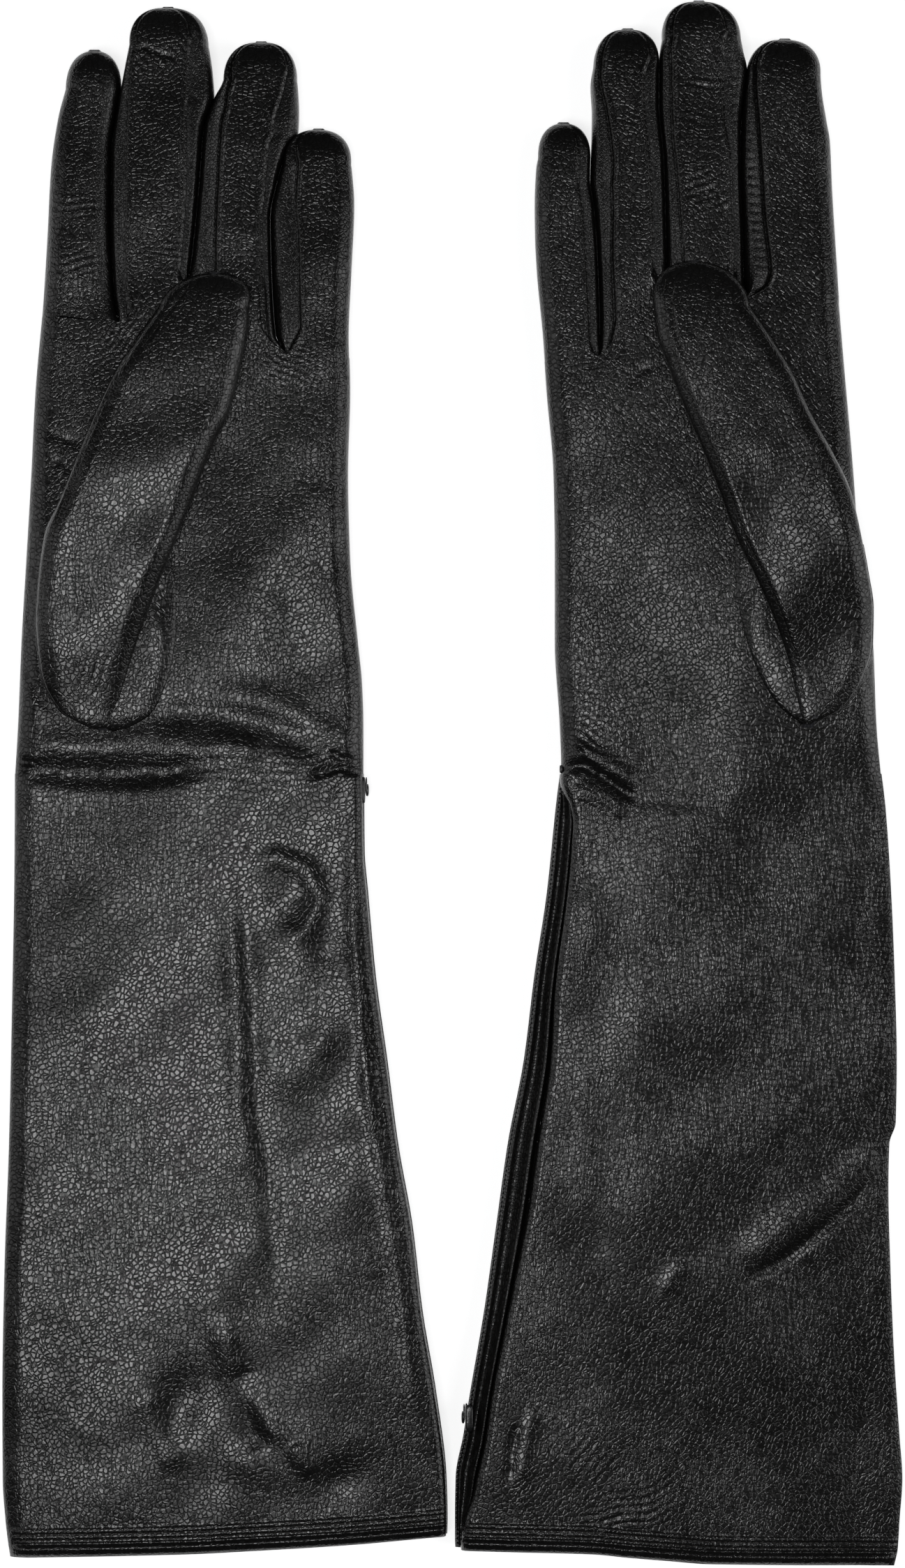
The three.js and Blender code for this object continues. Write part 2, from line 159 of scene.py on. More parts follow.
def round_off(t: np.ndarray, power: float = 2.3) -> np.ndarray:
    """Falls from 1 at t 0 to 0 at t 1 along a quarter of a superellipse."""
    return (1 - np.clip(t, 0, 1) ** power) ** (1 / power)


def to_line(u: np.ndarray, v: np.ndarray, line: Line) -> tuple[np.ndarray, np.ndarray]:
    """Distance from each point to a bent line, and how far along it the nearest place is.

    Args:
        u: first coordinate of the points.
        v: second coordinate of the points.
        line: corners of the line.

    Returns:
        Distance and share of the line's length, from 0 to 1.
    """
    corners = np.array(line, float)
    lengths = np.hypot(*np.diff(corners, axis=0).T)
    done = np.concatenate([[0], np.cumsum(lengths)])
    best = np.full(u.shape, np.inf)
    share = np.zeros(u.shape)
    for (a, b), length, start in zip(zip(corners[:-1], corners[1:]), lengths, done):
        du, dv = (b - a) / length
        t = np.clip((u - a[0]) * du + (v - a[1]) * dv, 0, length)
        d = np.hypot(u - a[0] - t * du, v - a[1] - t * dv)
        nearer = d < best
        best = np.where(nearer, d, best)
        share = np.where(nearer, (start + t) / done[-1], share)
    return best, share


def curve_points(line: Line, count: int) -> np.ndarray:
    """Points along a rounded line, evenly spaced: each coordinate is a rail over length.

    Args:
        line: corners of the line.
        count: how many points.

    Returns:
        (u, v), one point to a line.
    """
    corners = np.array(line, float)
    length = np.concatenate([[0], np.cumsum(np.hypot(*np.diff(corners, axis=0).T))])
    at = np.linspace(0, length[-1], count)
    return np.stack([rail(list(zip(length, corners[:, k])), at) for k in (0, 1)], axis=1)


# =============================================================== relief of the leather
@dataclass(frozen=True)
class Fold:
    """A long soft fold: raised where its height is positive, sunk where it is negative."""

    line: Line
    height: float
    width: float

    def lift(self, u: np.ndarray, v: np.ndarray) -> np.ndarray:
        """Bell across the line, fading over the last fifth towards both ends.

        Args:
            u: places across the glove.
            v: places along the glove.

        Returns:
            Height to add at each place, in millimetres.
        """
        d, along = to_line(u, v, self.line)
        ends = smooth(along / 0.2) * smooth((1 - along) / 0.2)
        return self.height * np.exp(-((d / self.width) ** 2)) * (0.15 + 0.85 * ends)


@dataclass(frozen=True)
class Dome:
    """A rounded bump or dent."""

    centre: tuple[float, float]
    reach: tuple[float, float]
    height: float
    turn: float = 0.0

    def lift(self, u: np.ndarray, v: np.ndarray) -> np.ndarray:
        """Gaussian of the distance measured in the dome's own two reaches.

        Args:
            u: places across the glove.
            v: places along the glove.

        Returns:
            Height to add at each place, in millimetres.
        """
        along, across = turned(u, v, self.centre, self.turn)
        a, b = along / self.reach[0], across / self.reach[1]
        return self.height * np.exp(-(a * a + b * b))


@dataclass(frozen=True)
class Pucker:
    """A patch of fine parallel wrinkles."""

    centre: tuple[float, float]
    reach: tuple[float, float]
    spacing: float
    depth: float
    turn: float = 0.0

    def lift(self, u: np.ndarray, v: np.ndarray) -> np.ndarray:
        """Sharp valleys between rounded ridges, bent by two slow waves, inside a bell.

        Args:
            u: places across the glove.
            v: places along the glove.

        Returns:
            Height to add at each place, in millimetres.
        """
        a, b = turned(u, v, self.centre, self.turn)
        bend = 0.9 * np.sin(a / (2.3 * self.spacing) + 1.3) + 0.7 * np.sin(a / (1.1 * self.spacing))
        ridge = np.abs(np.sin(math.pi * (b / self.spacing + 0.35 * bend))) ** 0.6 - 0.7
        bell = np.exp(-((a / self.reach[0]) ** 2 + (b / self.reach[1]) ** 2))
        return self.depth * ridge * bell


@dataclass(frozen=True)
class Unevenness:
    """Soft hollows and swellings that any worn skin shows."""

    waves: Sequence[tuple[float, float]] = ((46, 0.2), (25, 0.08), (13, 0.022), (7, 0.009))
    seed: int = SEED

    def lift(self, u: np.ndarray, v: np.ndarray) -> np.ndarray:
        """Sum of waves in seeded directions, three for each (length, height).

        Args:
            u: places across the glove.
            v: places along the glove.

        Returns:
            Height to add at each place, in millimetres.
        """
        draw = np.random.default_rng(self.seed)
        total = np.zeros(np.shape(u))
        for length, height in self.waves:
            for _ in range(3):
                angle, phase = draw.uniform(0, math.tau, 2)
                stretch = draw.uniform(0.75, 1.3)
                run = (u * math.cos(angle) + v * math.sin(angle)) * math.tau / (length * stretch)
                bend = 0.8 * np.sin((u * math.sin(angle) - v * math.cos(angle)) * 2.9 / length)
                total += height * np.sin(run + bend + phase) / 1.7
        return total


@dataclass(frozen=True)
class Camber:
    """The whole glove's gentle arch, which turns its flanks away from the light overhead."""

    crest: float  # u of the arch's top
    drop: float  # mm lower for each square millimetre away from the crest

    def lift(self, u: np.ndarray, v: np.ndarray) -> np.ndarray:
        """A parabola across the sleeve, fading out over the palm."""
        return -self.drop * (u - self.crest) ** 2 * smooth((40 - v) / 60)


@dataclass(frozen=True)
class Relief:
    """Height of a glove's upper side over the table."""

    marks: Sequence[Fold | Dome | Pucker | Unevenness]

    def height(self, u: np.ndarray, v: np.ndarray) -> np.ndarray:
        """Flat height plus every mark.

        Args:
            u: places across the glove.
            v: places along the glove.

        Returns:
            Height over the table at each place.
        """
        total = np.full(np.shape(u), TOP_Z)
        for mark in self.marks:
            total = total + mark.lift(u, v)
        return np.clip(total, LOWEST_TOP_Z, HIGHEST_TOP_Z)


# =============================================================== meshes
def grid_faces(rows: int, cols: int, keep: np.ndarray | None = None) -> np.ndarray:
    """Four-sided faces of a grid of points, rows by columns, facing left of the row's run.

    Args:
        rows: rows of points.
        cols: points in a row.
        keep: which faces stay, (rows - 1) by (cols - 1), or None for all.

    Returns:
        Corner numbers, one face to a line.
    """
    r, c = np.mgrid[0 : rows - 1, 0 : cols - 1]
    a = (r * cols + c)[..., None] + np.array([0, 1, cols + 1, cols])
    return (a if keep is None else a[keep]).reshape(-1, 4)


def make_piece(name: str, hand: Hand, points: np.ndarray, faces: Sequence[Sequence[int]]) -> bpy.types.Object:
    """A smooth mesh object in the row frame, in metres, with its place in its mesh.

    Args:
        name: the piece's name.
        hand: glove whose drawing the points are in, which is turned over for the left hand.
        points: (u, v, z) in millimetres, one point to a line.
        faces: corner numbers of each face, facing outwards on the right glove.

    Returns:
        The new object, holding only the points its faces use, welded where they coincide.
    """
    faces = [list(f)[:: hand.value] for f in faces]
    mesh = bpy.data.meshes.new(name)
    mesh.from_pydata((points * [hand.value, 1, 1] * MM).tolist(), [], faces)
    piece = bpy.data.objects.new(name, mesh)
    bpy.context.scene.collection.objects.link(piece)
    tidy_mesh(mesh)
    mesh.polygons.foreach_set("use_smooth", np.ones(len(mesh.polygons), bool))
    mesh.update()
    return piece


def tidy_mesh(mesh: bpy.types.Mesh) -> None:
    """Welds coinciding points, which also drops faces without area, and drops unused points.

    Args:
        mesh: the mesh, which is changed in place.
    """
    work = bmesh.new()
    work.from_mesh(mesh)
    bmesh.ops.remove_doubles(work, verts=work.verts, dist=WELD * MM)
    bmesh.ops.delete(work, geom=[p for p in work.verts if not p.link_faces], context="VERTS")
    work.to_mesh(mesh)
    work.free()


@dataclass
class Rim:
    """One long side of a glove part, row by row.

    u and v place the edge, band is how far the side strip reaches from it into the upper side,
    opening is 0 where the side is still closed to its neighbour and 1 where it stands free,
    and seam says how strongly the strip's seam and roll show.
    """

    u: np.ndarray
    v: np.ndarray
    band: np.ndarray
    opening: np.ndarray
    seam: np.ndarray


@dataclass
class Tube:
    """A flattened tube of leather between two rims.

    Each row runs round the tube: over the upper side from the inner to the outer rim, down
    the outer side, back along the underside, and up the inner side to where it began.
    """

    inner: Rim
    outer: Rim
    relief: Relief
    plump: np.ndarray
    bow: Callable[[np.ndarray], np.ndarray] = lambda f: np.zeros_like(f)
    bow_share: np.ndarray | None = None
    top_columns: int = 50
    side_columns: int = 9
    base_columns: int = 14
    inset: float = 0.0
    floor: float | np.ndarray = FLOOR_Z
    middle: float | np.ndarray = MID_Z
    groove: float = 0.42
    roll: float = 0.5
    seam_columns: tuple[int, int, int, int] = field(init=False)
    points: Grid = field(init=False)

    def __post_init__(self) -> None:
        """Works out the whole grid: upper side, outer side, underside, inner side."""
        out_top = self._side(self.outer, -1, False)
        out_base = self._side(self.outer, -1, True)
        in_base = self._side(self.inner, 1, True)
        in_top = self._side(self.inner, 1, False)
        top = self._flat(self.top_columns, False)
        base = self._flat(self.base_columns, True)
        forward = [top, [a[:, ::-1] for a in out_top], out_base]
        back = [[a[:, ::-1] for a in base], [a[:, ::-1] for a in in_base], in_top]
        parts = [*forward, *back]
        widths = np.cumsum([p[0].shape[1] for p in parts])
        self.seam_columns = (0, widths[0] - 1, widths[2], widths[3] - 1)
        self.points = tuple(np.concatenate([p[k] for p in parts] + [top[k][:, :1]], axis=1) for k in range(3))

    def _seam_dip(self, from_seam: np.ndarray, strength: np.ndarray) -> np.ndarray:
        """Narrow valley at the seam with a small raised roll on the flat side of it."""
        valley = -self.groove * np.exp(-((from_seam / 0.5) ** 2))
        roll = 0.24 * np.exp(-(((from_seam - 1.1) / 0.6) ** 2))
        return strength * (valley + roll)

    def _squeeze(self, z: np.ndarray) -> np.ndarray:
        """Draws heights in to the middle by the inset and where the part closes."""
        half = TOP_Z - MID_Z
        return self.middle + (z - self.middle) * self.plump[:, None] * (1 - self.inset / half)

    def _flat(self, count: int, below: bool) -> list[np.ndarray]:
        """Upper side or underside between the two seams, closer together near the seams.

        Args:
            count: columns across.
            below: whether it is the underside.

        Returns:
            u, v and z of the columns.
        """
        t = np.linspace(0, 1, count)
        f = 0.35 * t + 0.65 * (0.5 - 0.5 * np.cos(math.pi * t))
        start = self.inner.u + self.inner.band + self.inset
        end = self.outer.u - self.outer.band - self.inset
        u = start[:, None] + (end - start)[:, None] * f
        v = self.inner.v[:, None] + (self.outer.v - self.inner.v)[:, None] * f
        if self.bow_share is not None:
            v = v + self.bow_share[:, None] * self.bow(f)
        if below:
            return [u, v, self._squeeze(self._underside(u, v))]
        z = self.relief.height(u, v)
        z = z + self._seam_dip(u - start[:, None], self.inner.seam[:, None])
        z = z + self._seam_dip(end[:, None] - u, self.outer.seam[:, None])
        return [u, v, self._squeeze(z)]

    def _underside(self, u: np.ndarray, v: np.ndarray) -> np.ndarray:
        """Height of the underside, lying on the table with slight hollows."""
        hollow = np.sin(u / 9.0 + 0.6 * np.sin(v / 17.0)) * np.sin(v / 13.0)
        return self.floor + 0.16 * (1 + hollow)

    def _side(self, rim: Rim, way: int, below: bool) -> list[np.ndarray]:
        """A quarter superellipse from the edge to the seam, squarer on a strip, with the strip's roll.

        Args:
            rim: the side's edge and strip.
            way: 1 where the glove lies towards greater u from the edge, -1 otherwise.
            below: whether it is the underside's half.

        Returns:
            u, v and z of the columns, from the edge to just before the seam.
        """
        turn = np.linspace(0, math.pi / 2, self.side_columns + 1)[:-1]
        share = 1 - np.cos(turn)
        band = rim.band[:, None]
        d = band * share
        u = (rim.u + way * self.inset)[:, None] + way * d
        v = np.repeat(rim.v[:, None], len(turn), axis=1)
        full = self._underside(u, v) if below else self.relief.height(u, v)
        lip = self.middle + (-EDGE_LIP if below else EDGE_LIP)
        edge = lip + (full - lip) * (1 - rim.opening[:, None])
        power = 2 + 1.2 * np.clip(rim.seam, 0, 1)[:, None]
        z = edge + (full - edge) * (1 - (1 - share) ** power) ** (1 / power)
        if not below:
            z = z + self._seam_dip(d - band, rim.seam[:, None]) * (d - band > -1.4)
            roll = np.exp(-(((share - 0.4) / 0.2) ** 2)) * np.minimum(band / 3.5, 1.2)
            z = z + self.roll * roll * (rim.seam * rim.opening)[:, None]
        return [u, v, self._squeeze(z)]

    def piece(
        self, name: str, hand: Hand, keep: np.ndarray | None = None, caps: str = ""
    ) -> bpy.types.Object:
        """Makes a mesh of the tube or of some of its faces.

        Args:
            name: the piece's name.
            hand: glove the tube belongs to.
            keep: faces that stay, or None for all.
            caps: "first" or "last" in it closes that end with a fan to its middle.

        Returns:
            The new object.
        """
        rows, cols = self.points[0].shape
        cloud = as_cloud(self.points)
        faces = grid_faces(rows, cols, keep).tolist()
        ends = {"first": (0, 1), "last": (rows - 1, -1)}
        for word, (row, way) in ends.items():
            if word in caps:
                ring = row * cols + np.arange(cols - 1)
                middle = len(cloud)
                cloud = np.vstack([cloud, cloud[ring].mean(0)])
                ring = ring[::way]
                faces += [[int(b), int(a), middle] for a, b in zip(ring, np.roll(ring, -1))]
        return make_piece(name, hand, cloud, faces)


# =============================================================== finishes
def linear(hex_colour: str) -> tuple[float, float, float, float]:
    """Linear colour of an sRGB hex value such as "1b1a19"."""
    parts = [int(hex_colour[i : i + 2], 16) / 255 for i in (0, 2, 4)]
    return (*[p / 12.92 if p <= 0.04045 else ((p + 0.055) / 1.055) ** 2.4 for p in parts], 1.0)


def add_node(tree: bpy.types.NodeTree, kind: str, links: dict | None = None, **settings) -> bpy.types.Node:
    """Adds a node with its settings and links.

    Args:
        tree: node tree it goes into.
        kind: Blender's name for the node.
        links: input name or number to an output socket, or to a plain value.
        **settings: properties of the node itself.

    Returns:
        The new node.
    """
    node = tree.nodes.new(kind)
    for key, value in settings.items():
        setattr(node, key, value)
    for key, value in (links or {}).items():
        if isinstance(value, bpy.types.NodeSocket):
            tree.links.new(value, node.inputs[key])
        else:
            node.inputs[key].default_value = value
    return node


def new_material(name: str) -> tuple[bpy.types.Material, bpy.types.NodeTree, bpy.types.Node]:
    """A new material, its node tree and its shader node.

    Args:
        name: the material's name.

    Returns:
        Material, node tree and Principled BSDF node.
    """
    made = bpy.data.materials.new(name)
    made.use_nodes = True
    return made, made.node_tree, made.node_tree.nodes["Principled BSDF"]


@dataclass(frozen=True)
class NappaFinish:
    """Drum-dyed sheep nappa with a waxed grain: near black, a soft satin light, fine cells.

    The skin shows small grain cells with creases between them, and longer hair-fine creases
    along the glove where it was stretched on the form.
    """

    name: str
    colour: str = "0f0e0d"
    roughness: float = 0.22
    cell: float = 1.3  # mm across one grain cell, drawn coarser than on the skin so that it shows
    valley_sheen: float = 0.25  # specular level in the valleys, which the wax doesn't fill
    ridge_sheen: float = 0.64  # and on the waxed cells between them
    cell_depth: float = 0.042  # mm
    crease: float = 1.5  # mm between stretch creases
    crease_length: float = 9.0
    crease_depth: float = 0.036
    patch: float = 38.0  # mm across the patches where stretch creases show
    wander: float = 7.0  # mm from bend to bend of the grain's lines
    wander_reach: float = 2.4  # mm the lines bend aside
    pore: float = 0.5  # mm across one pore
    pore_share: float = 0.1  # a pore's depth as a share of a cell's

    def material(self) -> bpy.types.Material:
        """Builds the material: cells, creases and pores as bump, duller valleys, and patches of gloss.

        Returns:
            The material.
        """
        made, tree, shader = new_material(self.name)
        place = add_node(tree, "ShaderNodeTexCoord").outputs["Object"]
        warp = add_node(
            tree, "ShaderNodeTexNoise", {"Vector": place, "Scale": 1 / (self.wander * MM), "Detail": 3.0},
        )
        shift = add_node(
            tree, "ShaderNodeVectorMath", {0: warp.outputs["Color"], 1: (0.5,) * 3}, operation="SUBTRACT",
        )
        small = add_node(
            tree,
            "ShaderNodeVectorMath",
            {0: shift.outputs[0], "Scale": self.wander_reach * MM},
            operation="SCALE",
        )
        moved = add_node(
            tree, "ShaderNodeVectorMath", {0: place, 1: small.outputs[0]}, operation="ADD",
        ).outputs[0]
        cells = self._valleys(tree, moved, (1, 1, 1), self.cell, 0.2)
        lines = self._valleys(tree, moved, (1, self.crease / self.crease_length, 1), self.crease, 0.16)
        where = add_node(
            tree, "ShaderNodeTexNoise", {"Vector": place, "Scale": 1 / (self.patch * MM), "Detail": 2.0},
        )
        spread = add_node(
            tree, "ShaderNodeMapRange", {"Value": where.outputs["Fac"], "From Min": 0.42, "From Max": 0.62}
        ).outputs[0]
        pores = add_node(
            tree, "ShaderNodeTexNoise", {"Vector": moved, "Scale": 1 / (self.pore * MM), "Detail": 2.0},
        )
        weighed = add_node(tree, "ShaderNodeMath", {0: lines, 1: spread}, operation="MULTIPLY").outputs[0]
        deep = add_node(
            tree, "ShaderNodeMath", {0: weighed, 1: self.crease_depth / self.cell_depth}, operation="MULTIPLY"
        ).outputs[0]
        both = add_node(tree, "ShaderNodeMath", {0: cells, 1: deep}, operation="ADD").outputs[0]
        skin = add_node(
            tree,
            "ShaderNodeMath",
            {0: pores.outputs["Fac"], 1: self.pore_share, 2: both},
            operation="MULTIPLY_ADD",
        ).outputs[0]
        bump = add_node(
            tree, "ShaderNodeBump", {"Height": skin, "Distance": self.cell_depth * MM, "Strength": 1.0},
        )
        gloss = add_node(
            tree,
            "ShaderNodeMapRange",
            {"Value": where.outputs["Fac"], "To Min": self.roughness - 0.05, "To Max": self.roughness + 0.07},
        )
        sheen = add_node(
            tree,
            "ShaderNodeMapRange",
            {"Value": both, "From Max": 1.4, "To Min": self.valley_sheen, "To Max": self.ridge_sheen},
        )
        shader.inputs["Base Color"].default_value = linear(self.colour)
        shader.inputs["IOR"].default_value = 1.5
        tree.links.new(sheen.outputs[0], shader.inputs["Specular IOR Level"])
        tree.links.new(gloss.outputs[0], shader.inputs["Roughness"])
        tree.links.new(bump.outputs[0], shader.inputs["Normal"])
        return made

    def _valleys(
        self, tree: bpy.types.NodeTree, place: bpy.types.NodeSocket, stretch: tuple, size: float, edge: float
    ) -> bpy.types.NodeSocket:
        """Cells with narrow valleys between them: 0 in a valley, 1 on a cell.

        Args:
            tree: node tree of the material.
            place: coordinates to read.
            stretch: scale of each coordinate.
            size: a cell's size in millimetres.
            edge: a valley's width as a share of a cell.

        Returns:
            Socket with the value.
        """
        turned = add_node(tree, "ShaderNodeMapping", {"Vector": place, "Scale": stretch}).outputs[0]
        cell = add_node(
            tree,
            "ShaderNodeTexVoronoi",
            {"Vector": turned, "Scale": 1 / (size * MM)},
            feature="DISTANCE_TO_EDGE",
        )
        return add_node(
            tree,
            "ShaderNodeMapRange",
            {"Value": cell.outputs["Distance"], "From Max": edge},
            interpolation_type="SMOOTHSTEP",
        ).outputs[0]


@dataclass(frozen=True)
class ClothFinish:
    """Knitted silk or woven tape: matt, with a fine regular rib from its yarn."""

    name: str
    colour: str
    yarn: float  # mm between ribs, drawn coarse enough to show
    roughness: float = 0.75
    across: bool = False

    def material(self) -> bpy.types.Material:
        """Builds the material: two crossed waves of the yarn's spacing as bump and as painted shade, the
        colour darkening in the grooves between the ribs.

        Returns:
            The material.
        """
        made, tree, shader = new_material(self.name)
        place = add_node(tree, "ShaderNodeTexCoord").outputs["Object"]
        # A wave texture repeats every tau / 20 of its scaled coordinate.
        scale = math.tau / 20 / (self.yarn * MM)
        main = add_node(
            tree,
            "ShaderNodeTexWave",
            {"Vector": place, "Scale": scale, "Distortion": 0.4, "Detail": 1.0},
            bands_direction="Y" if self.across else "X",
        )
        cross = add_node(
            tree,
            "ShaderNodeTexWave",
            {"Vector": place, "Scale": scale * 0.8},
            bands_direction="X" if self.across else "Y",
        )
        weave = add_node(
            tree, "ShaderNodeMath", {0: main.outputs["Fac"], 1: cross.outputs["Fac"]}, operation="ADD"
        ).outputs[0]
        # Painted shade: where the weave is low, between the ribs, the colour is mixed towards near black.
        shade = add_node(
            tree, "ShaderNodeMapRange", {"Value": weave, "From Max": 2.0, "To Min": 0.6},
        ).outputs[0]
        colour = add_node(
            tree,
            "ShaderNodeMix",
            {0: shade, 6: linear("050505"), 7: linear(self.colour)},
            data_type="RGBA",
        )
        bump = add_node(tree, "ShaderNodeBump", {"Height": weave, "Distance": 0.1 * MM})
        tree.links.new(colour.outputs[2], shader.inputs["Base Color"])
        tree.links.new(bump.outputs[0], shader.inputs["Normal"])
        shader.inputs["Roughness"].default_value = self.roughness
        return made


@dataclass(frozen=True)
class EnamelFinish:
    """Black stove enamel over die-cast zinc: hard, glossy, with faint orange peel."""

    name: str
    colour: str = "151516"
    roughness: float = 0.22

    def material(self) -> bpy.types.Material:
        """Builds the material: a fine noise as bump and slight changes of gloss.

        Returns:
            The material.
        """
        made, tree, shader = new_material(self.name)
        place = add_node(tree, "ShaderNodeTexCoord").outputs["Object"]
        peel = add_node(tree, "ShaderNodeTexNoise", {"Vector": place, "Scale": 1 / (0.6 * MM), "Detail": 2.0})
        gloss = add_node(
            tree,
            "ShaderNodeMapRange",
            {"Value": peel.outputs["Fac"], "To Min": self.roughness - 0.06, "To Max": self.roughness + 0.1},
        )
        bump = add_node(tree, "ShaderNodeBump", {"Height": peel.outputs["Fac"], "Distance": 0.03 * MM})
        shader.inputs["Base Color"].default_value = linear(self.colour)
        tree.links.new(gloss.outputs[0], shader.inputs["Roughness"])
        tree.links.new(bump.outputs[0], shader.inputs["Normal"])
        return made


class Slot(Enum):
    """The material slots."""

    OUTER = "outer_leather"
    FORK = "fork_leather"
    SILK = "silk_lining"
    FACING = "hem_facing"
    TAPE = "zip_tape"
    METAL = "zip_metal"


FINISHES = {
    Slot.OUTER: NappaFinish("drum-dyed nappa leather"),
    Slot.FORK: NappaFinish("split nappa leather for forks", roughness=0.27, cell=1.0),
    Slot.SILK: ClothFinish("knitted silk", "2c2c30", 0.9, 0.6),
    Slot.FACING: NappaFinish("pared nappa leather", colour="161513", roughness=0.45),
    Slot.TAPE: ClothFinish("woven polyester tape", "1a1a1b", 0.7, 0.7, across=True),
    Slot.METAL: EnamelFinish("stove-enamelled zinc"),
}
THREAD = ClothFinish("bonded polyester thread", "3a3836", 0.25, 0.45)


@dataclass
class Wardrobe:
    """Materials made so far, so that every piece of one finish shares one."""

    made: dict[str, bpy.types.Material] = field(default_factory=dict)

    def dress(self, piece: bpy.types.Object, slot: Slot, finish: object | None = None) -> None:
        """Gives the piece the material of its slot's finish, or of another finish.

        Args:
            piece: the piece.
            slot: the slot whose finish it takes unless another is given.
            finish: another finish than the slot's own.
        """
        finish = finish or FINISHES[slot]
        if finish.name not in self.made:
            self.made[finish.name] = finish.material()
        piece.data.materials.clear()
        piece.data.materials.append(self.made[finish.name])


WARDROBE = Wardrobe()


# =============================================================== patterns
@dataclass(frozen=True)
class Side:
    """One side of a finger: its edge, its strip's width, and where it parts from its neighbour."""

    edge: Line  # (v, u)
    band: Line = ((0, SIDE_ROLL), (300, SIDE_ROLL))  # (v, width)
    parts_at: float | None = None
    roll: float = 1.0


@dataclass(frozen=True)
class FingerPattern:
    """A finger as it lies: its two sides, the point of its tip and where it starts to round."""

    inner: Side
    outer: Side
    root: tuple[float, float]  # v of the root at the inner and the outer side
    tip: tuple[float, float]  # (u, v)
    round_from: float


@dataclass(frozen=True)
class ThumbPattern:
    """The thumb as it lies on the palm, and the oval it is set in."""

    inner: Line  # (v, u)
    outer: Line
    oval_inner: Line
    tip: tuple[float, float]
    seam_line: Line  # (u, v) of the seam that joins its front and back
    seam_inside: Line


@dataclass(frozen=True)
class GlovePattern:
    """Everything that differs between the two gloves."""

    hand: Hand
    sleeve_outer: Line  # (v, u)
    sleeve_inner: Line
    hem: Line  # (u, v)
    front_step: Line  # (v, width): how far the sleeve's front edge lies inside its back edge
    palm_outer: Line
    palm_inner: Line
    fingers: dict[str, FingerPattern]
    thumb: ThumbPattern
    marks: Sequence[Fold | Dome | Pucker | Unevenness]


